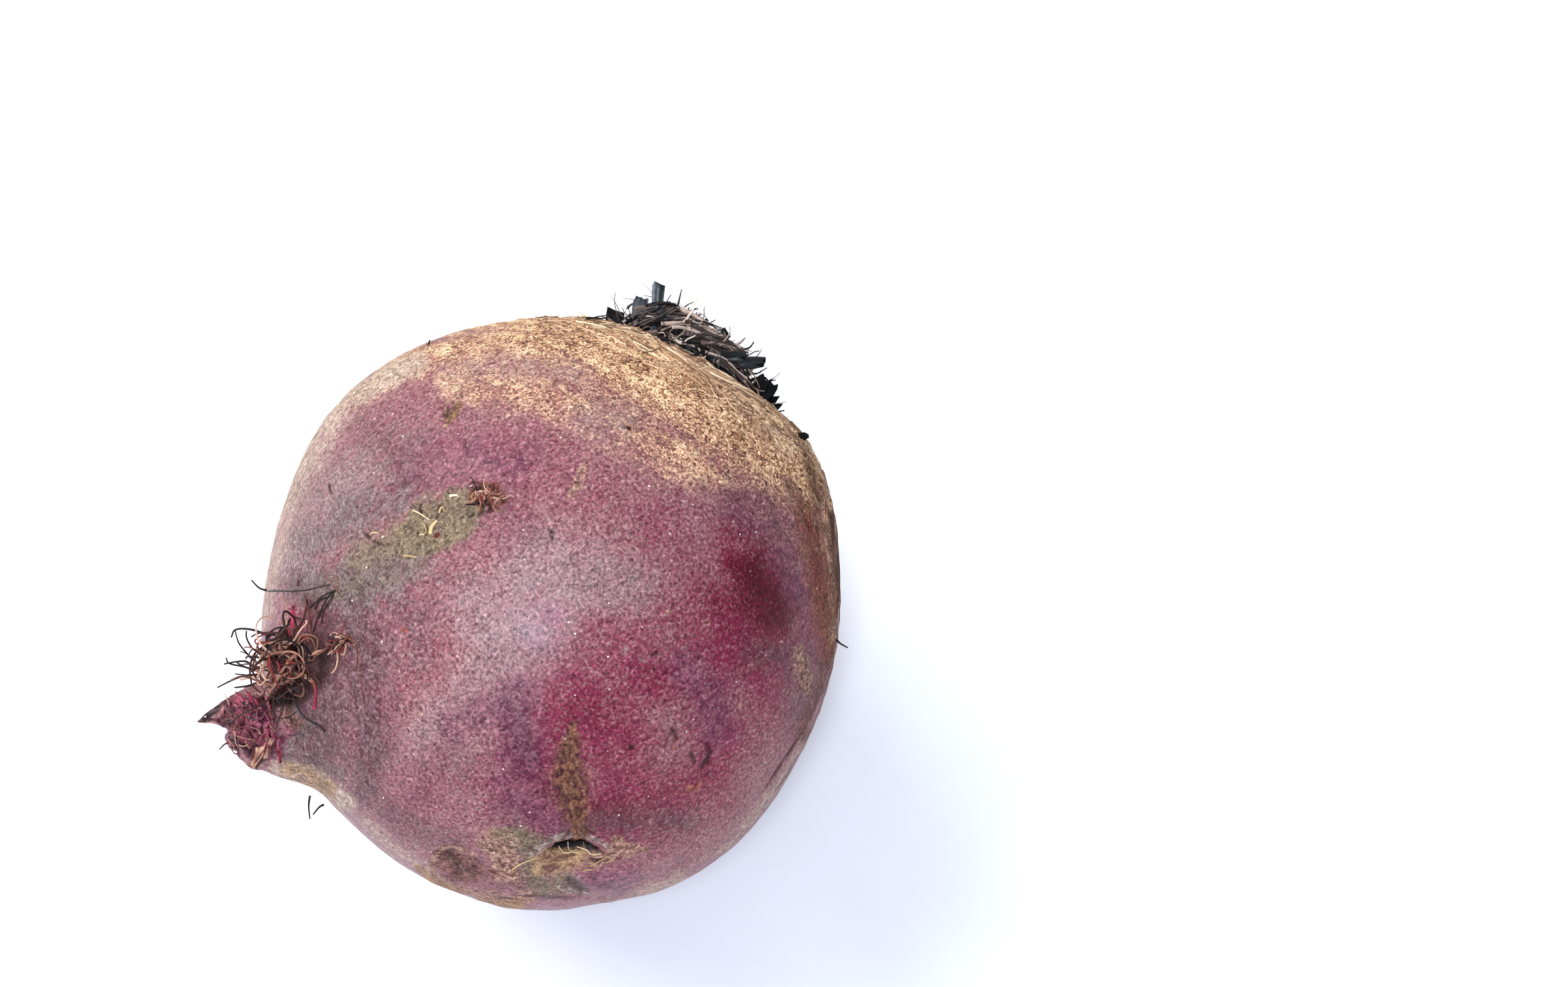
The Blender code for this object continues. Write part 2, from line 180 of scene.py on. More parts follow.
def rootRadius(directions):
    g = globe
    radius = np.full(len(directions), g["radius"])
    for azimuth, elevation, height in g["lobes"]:
        radius += height * hump(directions, unit(azimuth, elevation), g["lobeWidth"])
    radius += g["lumps"] * lumps(directions, g["lumpsPerRadius"], 1)
    for azimuth, elevation, height, width in g["injury"]:
        radius += height * hump(directions, unit(azimuth, elevation), width)
    fromCrown = angleFrom(directions, g["crown"])
    cosine = np.maximum(np.cos(np.radians(fromCrown)), 0.3)
    plate = np.where(fromCrown < g["plateSpan"], g["plate"] / cosine, 1000.0)  # 1000: far outside
    radius = lowerOf(radius, plate, g["plateBlend"])
    out = g["plate"] * np.tan(np.radians(np.minimum(fromCrown, g["plateSpan"])))
    radius += g["neckHeight"] * ease((g["neckRadius"] + g["neckSlope"] / 2 - out) / g["neckSlope"])
    radius -= g["groove"] * np.exp(-(((out - g["neckRadius"] - g["grooveAway"]) / g["grooveWidth"]) ** 2))
    radius += g["skirtHeight"] * hump(directions, g["skirt"], g["skirtWidth"])
    stump = g["stumpReach"] - g["stumpFall"] * angleFrom(directions, g["stump"]) ** 4
    rough = lumps(directions, g["roughPerRadius"], 3) * hump(directions, g["stump"], g["roughWidth"])
    radius = higherOf(radius, stump + g["stumpRough"] * rough, g["stumpBlend"])
    tip = g["tipReach"] - g["tipFall"] * angleFrom(directions, g["tip"])
    return higherOf(radius, tip, g["tipBlend"])


skin = {
    "columns": 396,
    # from, to and number of rings in degrees from the crown: crown, side, injury, side, stump
    "rings": [(0, 28, 48), (28, 122, 98), (122, 146, 46), (146, 164, 22), (164, 180, 24)],
    "crowding": 0.34,  # how much closer the columns stand at the front
    "front": unit(-116, 45),
}


def ringDirections(columns, rowAngles):
    crown, stump = globe["crown"], globe["stump"]
    turns = np.linspace(0, 2 * pi, columns, endpoint=False)
    turns = turns - skin["crowding"] * np.sin(turns)
    front = squareTo(crown, skin["front"])
    side = np.cross(crown, front)
    bendAxis = normalised(np.cross(-crown, stump))
    bend = acos(-crown @ stump)
    rings = [crown[None, :]]
    for row in rowAngles:
        polar = radians(row)
        around = np.cos(turns)[:, None] * front + np.sin(turns)[:, None] * side
        ring = cos(polar) * crown + sin(polar) * around
        rings.append(turnedAbout(ring, bendAxis, bend * float(ease(row / 180))))
    rings.append(stump[None, :])
    return np.vstack(rings)


def baseSkin():
    spans = [np.linspace(start, end, count + 1)[1:] for start, end, count in skin["rings"]]
    rows = np.concatenate(spans)[:-1]
    count = skin["columns"]
    directions = ringDirections(count, rows)
    points = centre + directions * rootRadius(directions)[:, None]
    faces, uvs = [], []
    last = len(points) - 1
    span = len(rows) + 1
    for row in range(-1, len(rows)):
        a, b = 1 + row * count, 1 + (row + 1) * count
        high, low = 1 - (row + 1) / span, 1 - (row + 2) / span
        for i in range(count):
            j = (i + 1) % count
            left, right = i / count, (i + 1) / count
            if row < 0:
                faces.append((0, 1 + i, 1 + j))
                uvs += [((left + right) / 2, 1.0), (left, low), (right, low)]
            elif row == len(rows) - 1:
                faces.append((a + i, last, a + j))
                uvs += [(left, high), ((left + right) / 2, 0.0), (right, high)]
            else:
                faces.append((a + i, b + i, b + j, a + j))
                uvs += [(left, high), (left, low), (right, low), (right, high)]
    return directions, points, faces, uvs


skinDirections, skinPoints, skinFaces, skinUvs = baseSkin()
skinTree = BVHTree.FromPolygons([tuple(point) for point in skinPoints], skinFaces)
print("root shaped:", len(skinFaces), "faces")


turn, pitch = radians(shot["turn"]), radians(shot["pitch"])
eye = np.array(shot["eye"])
rightward = np.array([cos(turn), sin(turn), 0.0])
ahead = np.array([-sin(turn) * cos(pitch), cos(turn) * cos(pitch), -sin(pitch)])
upward = np.cross(rightward, ahead)
focal = shot["lens"] / shot["sensor"] * shot["width"]  # pixels
pixelSize = 0.095  # mm on the root that a pixel of the photograph shows


def sight(x, y):  # the ray through a pixel of the photograph, per mm of depth
    return ahead + (rightward * (x - shot["width"] / 2) - upward * (y - shot["height"] / 2)) / focal


def shownAt(points):  # the pixels where points in mm are seen
    away = points - eye
    across, up = away @ rightward / (away @ ahead), away @ upward / (away @ ahead)
    return np.stack([shot["width"] / 2 + focal * across, shot["height"] / 2 - focal * up], axis=1)


def seenAt(x, y):  # the point of the skin, in mm, under this pixel of the photograph
    hit = skinTree.ray_cast(Vector(eye), Vector(sight(x, y)))[0]
    if hit is None:  # just outside the outline: the nearest skin
        near = eye + sight(x, y) * ((centre - eye) @ ahead)
        hit = skinTree.find_nearest(Vector(near))[0]
    return np.array(hit)


def seen(*pixels):  # the skin's points under pixels, each with what follows its x and y
    return [(*seenAt(x, y), *rest) for x, y, *rest in pixels]


def overSkin(direction, lift=0.0):  # a point in mm over the skin, along a direction from the centre
    return centre + direction * (skinTree.ray_cast(Vector(centre), Vector(direction))[3] + lift)


def placed(*angles):  # the same for azimuth and elevation from the centre
    return [(*overSkin(unit(azimuth, elevation)), *rest) for azimuth, elevation, *rest in angles]


# Marks on the skin: kind, softness of its edge, strength, relief in mm, and its points, each with the
# half width in mm there. Pixels are laid on as the photograph shows them, seen and placed points are
# measured on the skin.
marks = [
    # olive patch of dried mud with its pits, the rough root scar at its end, grey smears round it
    ("grey", 2.2, 0.9, 0, (462, 900, 3), (520, 895, 4.2), (590, 878, 4), (640, 850, 3)),
    ("grey", 2.4, 0.75, 0, (478, 830, 3.6), (540, 800, 4.5), (610, 770, 3.4)),
    ("grey", 2, 0.4, 0, (470, 760, 4), (560, 700, 5), (640, 670, 4)),
    ("olive", 2.2, 0.75, 0.05, (548, 858, 1.8), (590, 842, 3), (640, 826, 3.4)),
    ("olive", 2.4, 0.4, 0, (500, 905, 2.4), (580, 890, 2.6), (650, 866, 1.6)),
    ("olive", 0.8, 0.95, 0.12, (640, 828, 3.2), (672, 806, 4.1), (704, 786, 3.3), (736, 768, 1.6)),
    ("dark", 0.9, 0.8, -0.3, (560, 820, 0.25), (568, 826, 0.35)),
    ("dark", 0.9, 0.8, -0.3, (577, 833, 0.35), (590, 838, 0.2)),
    ("dark", 1.2, 0.6, -0.15, (571, 868, 0.2), (595, 871, 0.35), (617, 869, 0.2)),
    ("dark", 0.9, 0.9, -0.2, (645, 778, 0.35), (648, 790, 0.2)),
    ("dark", 0.9, 0.9, -0.25, (678, 776, 0.25), (672, 792, 0.25)),
    ("dark", 0.9, 0.7, -0.15, (640, 812, 0.15), (645, 842, 0.2)),
    ("dark", 0.9, 0.8, -0.15, (708, 800, 0.15), (730, 790, 0.25), (756, 784, 0.35)),
    ("knob", 0.7, 1, 0.6, (733, 762, 1.4), (752, 760, 1.8), (768, 770, 1.1)),
    ("dark", 0.7, 0.9, -0.5, (738, 749, 0.5), (727, 757, 0.35)),
    ("dark", 0.7, 0.9, -0.4, (730, 771, 0.3), (745, 774, 0.4), (757, 780, 0.3)),
    # oval pit, brown lens and dark ticks of the top
    ("scab", 0.6, 0.75, -0.4, (706, 618, 0.5), (696, 630, 0.95), (687, 645, 0.6)),
    ("tan", 1.2, 0.7, 0.2, (718, 616, 0.15), (700, 611, 0.25), (685, 626, 0.25), (678, 645, 0.25),
     (684, 657, 0.25), (696, 652, 0.15)),
    ("dark", 0.8, 0.8, -0.3, (690, 620, 0.2), (682, 640, 0.3)),
    ("tan", 0.9, 0.75, -0.15, (905, 700, 0.2), (893, 724, 0.6), (884, 746, 0.95), (876, 764, 0.5)),
    ("dark", 1.4, 0.5, -0.1, (890, 728, 0.15), (884, 756, 0.2)),
    ("ridge", 1.2, 0.5, 0.15, (912, 698, 0.15), (905, 732, 0.2), (889, 766, 0.15)),
    ("ridge", 1.2, 0.5, 0.1, (950, 651, 0.2), (958, 660, 0.25), (964, 672, 0.2), (971, 684, 0.12)),
    ("ridge", 1.2, 0.6, 0.15, (936, 820, 0.15), (962, 806, 0.2), (986, 805, 0.15)),
    ("ridge", 1.2, 0.5, 0.1, (918, 793, 0.12), (934, 782, 0.18), (948, 775, 0.12)),
    ("dark", 0.8, 0.8, -0.15, (899, 662, 0.2), (907, 665, 0.2)),
    ("dark", 0.8, 0.9, -0.3, (845, 815, 0.4), (850, 829, 0.25)),
    ("dark", 0.8, 0.7, -0.15, (713, 672, 0.2), (716, 694, 0.25)),
    ("dark", 0.8, 0.6, -0.1, (700, 655, 0.15), (706, 668, 0.15)),
    ("dark", 0.8, 0.8, -0.15, (505, 745, 0.2), (508, 758, 0.25)),
    ("dark", 1, 0.4, -0.1, (470, 640, 0.15), (515, 618, 0.2), (560, 600, 0.15)),
    # wedge-shaped scar that runs down the front
    ("scar", 1.8, 0.9, -0.4, (880, 1110, 0.3), (875, 1150, 1.7), (873, 1185, 2.6), (882, 1225, 2.5),
     (888, 1260, 1.9), (892, 1292, 1.4)),
    ("tan", 1.6, 0.45, 0, (870, 1135, 0.7), (868, 1170, 0.8)),
    ("tan", 1.4, 0.6, 0, (880, 1215, 0.35), (884, 1250, 0.3)),
    ("dark", 1, 0.7, -0.3, (858, 1165, 0.15), (858, 1205, 0.25), (868, 1245, 0.15)),
    ("dark", 1, 0.6, -0.3, (882, 1150, 0.15), (886, 1270, 0.25)),
    ("dark", 1, 0.6, -0.2, (899, 1190, 0.15), (903, 1225, 0.2)),
    # healed split low on the front, from its left end: brown oval in a tan ring, with painted highlights on
    # its ridges
    ("tan", 1.4, 0.7, 0.1, (668, 1350, 0.5), (663, 1328, 0.5), (672, 1306, 0.5), (690, 1301, 0.3)),
    ("tan", 1.6, 0.7, 0, (670, 1352, 0.5), (700, 1366, 0.6), (735, 1372, 0.6)),
    ("tan", 1.2, 0.7, 0.1, (690, 1301, 0.3), (710, 1306, 0.35), (730, 1313, 0.3)),
    ("brown", 1, 1, -0.35, (684, 1320, 1.9), (702, 1330, 2.5), (728, 1340, 1.8)),
    ("dark", 2, 0.6, -0.25, (684, 1314, 0.5), (700, 1328, 0.9), (706, 1346, 0.5)),
    ("pink", 1.4, 0.5, 0.1, (689, 1320, 0.12), (693, 1331, 0.18)),
    ("pink", 1.4, 0.5, 0.1, (703, 1331, 0.15), (711, 1343, 0.15)),
    # mottled tan corner, red-brown skin under it and the tan underside
    ("brown", 2, 0.6, 0, (724, 1340, 1.8), (770, 1352, 2), (804, 1352, 1.4)),
    ("tan", 1.8, 0.9, 0.1, (752, 1294, 1.7), (772, 1308, 2.5), (782, 1338, 1.8)),
    ("tan", 1.8, 0.85, 0.1, (740, 1380, 0.9), (785, 1386, 1.4), (816, 1374, 1.2)),
    ("dark", 1.2, 0.6, -0.1, (762, 1378, 0.15), (790, 1380, 0.2)),
    ("ochre", 1.8, 0.75, 0, (640, 1332, 0.5), (665, 1352, 0.6), (700, 1374, 0.7), (750, 1388, 0.8),
     (800, 1386, 0.7)),
    ("dark", 1.2, 0.6, -0.1, (752, 1301, 0.2), (758, 1306, 0.2)),
    ("dark", 1.2, 0.6, -0.1, (768, 1320, 0.2), (776, 1332, 0.25)),
    # grey swelling left of the hole, the hole with its pale upper lip, painted near black as shade, the tan
    # basin under it
    ("olive", 2, 0.85, 0.2, (762, 1280, 1), (790, 1284, 1.4), (826, 1290, 1.2)),
    ("grey", 1.6, 0.85, 0.1, (784, 1300, 1.1), (812, 1298, 1.4), (830, 1300, 0.9)),
    ("grey", 1.6, 0.9, 0, (796, 1296, 1.2), (810, 1312, 1.3), (812, 1342, 1.4), (830, 1364, 1.5)),
    ("olive", 2, 0.65, 0, (802, 1294, 1), (812, 1325, 1.2), (822, 1352, 1.3), (858, 1366, 1.4)),
    ("ochre", 1.5, 0.95, -0.2, (836, 1326, 2), (860, 1322, 2.3), (886, 1318, 1.5)),
    ("ridge", 1.1, 0.9, 0.6, (816, 1310, 0.35), (828, 1294, 0.5), (850, 1284, 0.55), (885, 1282, 0.5),
     (917, 1288, 0.45), (940, 1299, 0.3)),
    ("hole", 0.6, 1, -1.3, (840, 1308, 0.25), (856, 1305, 0.5), (872, 1302, 0.75), (890, 1302, 0.75),
     (908, 1306, 0.5), (922, 1312, 0.2)),
    # torn tan skin at its right, and the smooth purple lobe between two creases
    ("tan", 1.7, 0.85, 0.2, (904, 1324, 0.9), (925, 1318, 1), (946, 1310, 0.9)),
    ("dark", 1.2, 0.8, -0.3, (908, 1320, 0.2), (920, 1322, 0.35), (934, 1317, 0.2)),
    ("dark", 1.2, 0.6, -0.2, (926, 1308, 0.2), (940, 1312, 0.2)),
    ("tan", 1.1, 0.9, 0.15, (946, 1297, 1.2), (966, 1304, 1.1), (1000, 1303, 0.2)),
    ("grey", 1.3, 0.9, -0.3, (860, 1348, 1), (880, 1360, 1.4), (896, 1368, 1)),
    ("dark", 1.6, 0.6, -0.6, (866, 1352, 0.3), (882, 1362, 0.7), (894, 1372, 0.4)),
    ("ridge", 1, 0.8, 0.2, (858, 1362, 0.25), (876, 1372, 0.3), (906, 1374, 0.25)),
    ("plum", 1.4, 1, 0.4, (906, 1350, 1.5), (938, 1356, 1.9), (968, 1344, 1.3)),
    ("dark", 1.4, 0.5, -0.1, (906, 1338, 0.2), (916, 1352, 0.3), (938, 1362, 0.2)),
    ("ridge", 1, 0.7, 0.1, (906, 1374, 0.2), (930, 1380, 0.3), (950, 1373, 0.2)),
    ("dark", 1.2, 0.6, 0, (800, 1374, 0.2), (850, 1378, 0.35), (900, 1380, 0.2)),
    # tan smudge and small specks of the right side
    ("tan", 1.8, 0.75, 0.05, (1226, 1002, 1), (1234, 1030, 1.4), (1238, 1056, 1)),
    ("dark", 1.2, 0.6, -0.1, (1236, 1018, 0.25), (1238, 1032, 0.25)),
    ("rust", 1.2, 0.8, 0.1, (1060, 1210, 0.5), (1072, 1208, 0.6)),
    ("rust", 1.2, 0.5, 0, (1010, 1222, 0.25), (1060, 1214, 0.4)),
    ("dark", 0.8, 0.7, -0.2, (1062, 1150, 0.25), (1067, 1172, 0.3)),
    ("dark", 0.8, 0.8, -0.2, (1086, 1142, 0.2), (1090, 1170, 0.3)),
    ("rust", 1.2, 0.8, 0, (617, 968, 0.4), (622, 970, 0.4)),
    ("tan", 1.2, 0.7, 0.15, (1056, 1212, 0.5), (1074, 1206, 0.7)),
    ("tan", 1.2, 0.7, 0.1, (1068, 940, 0.15), (1078, 950, 0.25), (1090, 960, 0.15)),
    ("tan", 1.2, 0.7, 0.1, (1023, 938, 0.25), (1029, 941, 0.25)),
    ("tan", 1.2, 0.7, 0.1, (1134, 1086, 0.3), (1142, 1090, 0.3)),
    ("tan", 1.6, 0.5, 0.1, (964, 1106, 0.35), (972, 1118, 0.3)),
    ("tan", 1, 0.8, 0.1, (640, 1093, 0.25), (648, 1098, 0.2)),
    ("ridge", 1.4, 0.55, 0.1, (952, 990, 0.2), (962, 994, 0.3), (958, 1002, 0.3), (966, 1008, 0.2)),
    ("ridge", 1.4, 0.5, 0.1, (980, 1002, 0.2), (986, 1012, 0.25)),
    # small creases, dented and darkened with painted shade
    ("crease", 1, 0.9, -0.15, (1000, 1008, 0.3), (1014, 1001, 0.3)),
    ("crease", 1, 0.9, -0.2, (1030, 1122, 0.3), (1038, 1138, 0.35)),
    ("crease", 1, 0.9, -0.2, (1094, 1150, 0.3), (1088, 1164, 0.4), (1080, 1174, 0.3), (1090, 1180, 0.3)),
    ("crease", 1, 0.8, -0.15, (1092, 1186, 0.3), (1082, 1190, 0.25)),
    ("ridge", 1.2, 0.5, 0.1, (1040, 1116, 0.15), (1046, 1136, 0.15)),
    ("ridge", 1.2, 0.5, 0.1, (1102, 1150, 0.15), (1098, 1178, 0.2)),
    ("dark", 0.8, 0.7, -0.1, (744, 1011, 0.2), (751, 1013, 0.2)),
    ("rust", 1, 0.7, 0, (1035, 1150, 0.2), (1040, 1135, 0.2)),
    # where the outer skin is thin: deepest crimson at the right, a broad crimson field low down
    ("crimson", 2.4, 1, 0, (1158, 876, 3.8), (1178, 902, 4.8), (1188, 935, 4.2)),
    ("crimson", 2.4, 0.5, 0, (1120, 930, 5), (1170, 985, 6), (1225, 985, 4)),
    ("crimson", 2.4, 0.5, 0, (1140, 820, 2.6), (1180, 845, 2.8)),
    ("crimson", 2.4, 0.34, 0, (905, 1110, 3), (965, 1130, 3)),
    ("crimson", 2.4, 0.34, 0, (1092, 1070, 2.8), (1104, 1130, 2.8)),
    ("crimson", 2.4, 0.16, 0, (700, 690, 3), (770, 700, 3)),
    ("crimson", 2.4, 0.6, 0, (802, 1135, 3.2), (812, 1190, 4.4), (850, 1245, 4.2), (950, 1250, 3.8)),
    ("crimson", 2.4, 0.34, 0, (860, 1130, 3.8), (930, 1060, 4.4), (1015, 1045, 3.4)),
    ("crimson", 2.4, 0.34, 0, (940, 1205, 4), (1020, 1230, 3.6), (1080, 1190, 3)),
    ("bare", 2, 0.6, 0, (840, 1040, 4.5), (890, 1130, 6), (960, 1190, 7), (1080, 1180, 6.5),
     (1170, 1110, 4.5)),
    ("bare", 2.2, 0.55, 0, (945, 945, 3.6), (1020, 1010, 5), (1100, 1000, 5.5), (1170, 1050, 4)),
    ("bare", 2.4, 0.3, 0, (985, 790, 3), (1060, 820, 3)),
    ("plum", 2.2, 0.85, 0, (640, 715, 3.5), (720, 710, 4.2), (800, 705, 3)),
    ("plum", 2.4, 1, 0, (700, 1120, 3), (790, 1070, 3), (795, 1160, 3.8), (800, 1250, 3.6),
     (880, 1270, 2.6)),
    ("plum", 2.4, 0.6, 0, (690, 1130, 3), (650, 1185, 3.4), (640, 1250, 3), (600, 1250, 2.4)),
    ("plum", 2.4, 0.5, 0, (620, 950, 3), (660, 930, 2.6)),
    ("plum", 2.4, 0.5, 0, (770, 835, 2.6), (815, 812, 2.6)),
    ("plum", 2.4, 0.95, 0, (1140, 775, 3.4), (1200, 815, 3.6), (1240, 890, 3.4)),
    # dusty bloom left and middle, with a painted sheen in it, and painted shade towards the taproot, low
    # down and down the right side
    ("bloom", 1.8, 0.7, 0, (730, 930, 5), (800, 990, 5), (720, 1080, 5), (650, 1140, 4)),
    ("bloom", 2.2, 0.85, 0, (795, 880, 3.4), (840, 830, 3.6), (885, 885, 5), (960, 900, 4)),
    ("bloom", 2.4, 0.6, 0, (905, 640, 3), (960, 645, 3)),
    ("bloom", 2.4, 0.3, 0, (1030, 1100, 2.6), (1040, 1140, 2.6)),
    ("pale", 2.4, 0.75, 0, (985, 1380, 1.5), (1050, 1354, 1.6)),
    ("bloom", 2.4, 0.25, 0, (990, 990, 2.8), (1040, 1005, 2.8)),
    ("pale", 2.4, 0.4, 0, (690, 582, 2.6), (790, 560, 3), (890, 575, 2.6)),
    # painted light: paler skin on the upper right shoulder
    ("pale", 2.4, 0.35, 0, (1120, 610, 3), (1175, 645, 3.2), (1205, 690, 2.4)),
    ("dusk", 2.4, 0.46, 0, (545, 640, 3), (600, 700, 4), (640, 765, 3.6), (560, 770, 4)),
    ("dusk", 2.2, 0.3, 0, (1060, 735, 3), (1140, 762, 4), (1200, 815, 2.6)),
    ("plum", 2.4, 0.95, 0, (1052, 1030, 2.8), (1090, 1065, 3), (1100, 1120, 2.6)),
    ("dusk", 2.4, 0.6, 0, (1160, 1005, 2.6), (1228, 1010, 3), (1236, 1120, 3)),
    ("dusk", 2.2, 0.6, 0, (900, 1262, 1.8), (1000, 1262, 2.8), (1060, 1262, 2.2)),
    ("dusk", 2.4, 0.9, 0, (540, 925, 4.2), (560, 1000, 4.6), (555, 1080, 4.4), (570, 1140, 3.2),
     (560, 1215, 2.4)),
    # painted shade right of the rootlet tangle
    ("dark", 2.4, 0.6, 0, (478, 925, 1.6), (494, 950, 2.2), (498, 990, 2.2)),
    ("dusk", 2.2, 0.95, 0, (496, 990, 3.4), (506, 1080, 4.6), (500, 1150, 4)),
    ("dusk", 2.4, 0.55, 0, (560, 1215, 2.5), (620, 1265, 2.5), (700, 1300, 2)),
    ("dusk", 2.4, 0.4, 0, (640, 895, 2.4), (720, 885, 2)),
    ("dusk", 2.4, 0.35, 0, (790, 812, 2.6), (815, 832, 2.6)),
    ("dusk", 2.4, 0.4, 0, (704, 1160, 2.8), (726, 1200, 2.8)),
    ("dusk", 2.4, 0.5, 0, (790, 1090, 2.6), (808, 1150, 2.8)),
    ("dusk", 2.4, 0.4, 0, (780, 1230, 2.4), (800, 1290, 2.4)),
    ("dusk", 2.4, 0.55, 0, (590, 925, 3), (640, 955, 3.4), (640, 1010, 2.6)),
    # corky brown down the right edge, darkened with painted shade
    ("umber", 2.4, 0.65, 0, (1250, 850, 1.2), (1266, 900, 1.8), (1272, 970, 1.6)),
    ("umber", 2.4, 0.75, 0, (1236, 700, 0.6), (1256, 755, 1.4), (1270, 810, 1.8)),
    ("brown", 2.4, 0.75, 0, (1210, 740, 1.2), (1242, 800, 2), (1256, 880, 2), (1264, 960, 1.6)),
    ("rust", 2.4, 0.52, 0, (1232, 780, 1.4), (1250, 840, 1.8), (1258, 900, 1.8), (1264, 1000, 1.4)),
    ("brown", 2.4, 0.7, 0, (1272, 980, 1.4), (1262, 1050, 1.8), (1236, 1130, 1.4)),
    ("dark", 1.4, 0.7, -0.2, (1177, 1208, 0.12), (1195, 1180, 0.22), (1211, 1158, 0.25),
     (1230, 1128, 0.12)),
    ("dark", 1.4, 0.5, -0.1, (1190, 1216, 0.1), (1208, 1190, 0.16), (1226, 1160, 0.1)),
    ("dark", 1.6, 0.5, -0.15, (1208, 742, 0.12), (1236, 790, 0.2), (1250, 850, 0.12)),
    ("dark", 1.6, 0.5, -0.15, (1222, 740, 0.12), (1252, 800, 0.2), (1264, 870, 0.12)),
    ("ridge", 1.4, 0.5, 0.1, (1196, 742, 0.12), (1222, 776, 0.18), (1238, 830, 0.12)),
    # pale skin round the left and lower outline, with a painted rim reflection and sheen on it, and the
    # corky brown strip down the right edge, darkened with painted shade
    ("pale", 2.2, 1, 0, (640, 556, 1.6), (520, 606, 2.6), (470, 680, 3), (424, 765, 3), (400, 870, 2.6),
     (390, 960, 1.8)),
    ("bloom", 2.4, 0.85, 0, (450, 870, 4), (480, 800, 4.6), (545, 735, 4)),
    ("grey", 2.4, 0.45, 0, (450, 880, 3), (500, 840, 3.4), (540, 825, 2.4)),
    ("pale", 2.4, 0.5, 0, *placed((112, 34, 1.6), (124, 26, 2.4), (141, 18, 2.4), (150, 8, 1.4))),
    # painted rim reflection along the lower outline, over pale skin
    ("pale", 2.2, 0.6, 0, (560, 1262, 1), (620, 1320, 1.4), (700, 1372, 1.2)),
    ("pale", 2.2, 0.6, 0, (940, 1392, 1), (1040, 1370, 1.8), (1120, 1300, 1), (1200, 1200, 0.8),
     (1260, 1090, 0.6)),
    ("corky", 2.2, 0.7, 0, (500, 625, 2), (570, 570, 3), (660, 535, 3.4), (760, 520, 3)),
    ("corky", 2.4, 0.58, 0, (700, 585, 3), (830, 600, 3.4), (930, 630, 4.2), (1010, 685, 4), (1100, 725, 3),
     (1200, 755, 2)),
    ("corky", 1.9, 1, 0, (1226, 750, 2.6), (1256, 850, 2.8), (1274, 930, 2), (1280, 1010, 0.8)),
    # the right outline: corky brown darkened with painted shade
    ("umber", 2.4, 0.5, 0, (1268, 980, 1), (1262, 1070, 1)),
    ("umber", 2.4, 1, 0, (1276, 790, 0.6), (1294, 900, 1.5), (1298, 1000, 1.8), (1280, 1090, 1.2)),
    ("umber", 2.4, 0.55, 0, *placed((-36, 32, 2), (-42, 18, 3), (-46, 4, 3), (-44, -12, 2))),
    # taproot: crimson wound, dark tip, tan skirt, and the grooves round it, darkened with painted shade
    # under and beside the rootlet tangle
    ("wound", 0.6, 1, 0, (354, 1100, 1.6), (382, 1092, 2.5), (402, 1114, 2.8), (416, 1128, 1.6)),
    ("wound", 0.8, 1, 0, (370, 1135, 1.8), (402, 1148, 2.2), (424, 1138, 1.4)),
    ("brown", 1.6, 0.8, 0, (418, 1096, 1.4), (440, 1102, 1.7), (456, 1112, 1.2)),
    ("grey", 2, 0.8, 0, (448, 1090, 1.4), (460, 1120, 1.8), (450, 1150, 1.2)),
    ("brown", 1.6, 0.85, 0.1, (340, 1078, 0.9), (362, 1062, 1.2), (392, 1056, 1)),
    ("burnt", 1, 1, 0.1, (298, 1108, 1), (314, 1103, 0.8), (332, 1092, 0.5), (344, 1080, 0.3)),
    ("burnt", 0.9, 1, 0.5, (304, 1118, 0.6), (326, 1130, 0.7), (348, 1150, 0.6)),
    ("burnt", 1.2, 0.8, -0.2, (346, 1078, 0.25), (356, 1100, 0.3), (346, 1118, 0.25)),
    ("pink", 1.2, 0.75, 0.2, (308, 1108, 0.2), (326, 1112, 0.35), (344, 1124, 0.25)),
    ("pink", 1.2, 0.6, 0.25, (330, 1102, 0.2), (340, 1094, 0.3), (348, 1088, 0.2)),
    ("tan", 0.9, 0.8, 0.4, (386, 1176, 1), (398, 1166, 1), (408, 1150, 0.5)),
    ("pale", 1.8, 1, 0, (432, 1178, 1.4), (460, 1190, 1.7), (495, 1206, 1.7), (535, 1236, 1.2)),
    ("ochre", 2.2, 0.75, 0, (440, 1181, 1), (470, 1192, 1.6), (506, 1212, 1.2)),
    ("grey", 2, 0.6, 0, (440, 1160, 1.4), (480, 1170, 1.8), (520, 1190, 1.4)),
    # painted shade under the rootlet tangle
    ("dark", 1.6, 0.95, 0, *seen((412, 1002, 2.6), (424, 1032, 3.2), (456, 1034, 3))),
    ("plum", 0.9, 1, -0.45, (418, 1144, 0.5), (440, 1136, 0.6), (462, 1130, 0.3)),
    # painted shade in the dented hollow under the tangle
    ("dark", 1.8, 0.9, -0.4, *seen((412, 1066, 0.8), (430, 1074, 1.5), (456, 1070, 1.7), (474, 1048, 1.4))),
    ("hole", 1.4, 0.95, -0.6, *seen((410, 1068, 0.7), (424, 1070, 1.4), (446, 1070, 1.1))),
    # groove right of the tangle, dented and darkened with painted shade
    ("dark", 2.2, 0.85, -0.3, (486, 984, 1.9), (492, 1018, 2.4), (488, 1044, 1.4)),
    ("dark", 2, 0.4, 0, (440, 898, 0.6), (470, 902, 1), (500, 900, 0.7)),
    # the sides that the photograph doesn't show: mud, scabs and crimson places of the same kinds
    ("olive", 0.6, 0.8, 0.05, *placed((60, -10, 3), (76, -22, 5), (92, -24, 3))),
    ("grey", 1.3, 0.6, 0, *placed((50, -20, 6), (80, -30, 8), (105, -20, 6))),
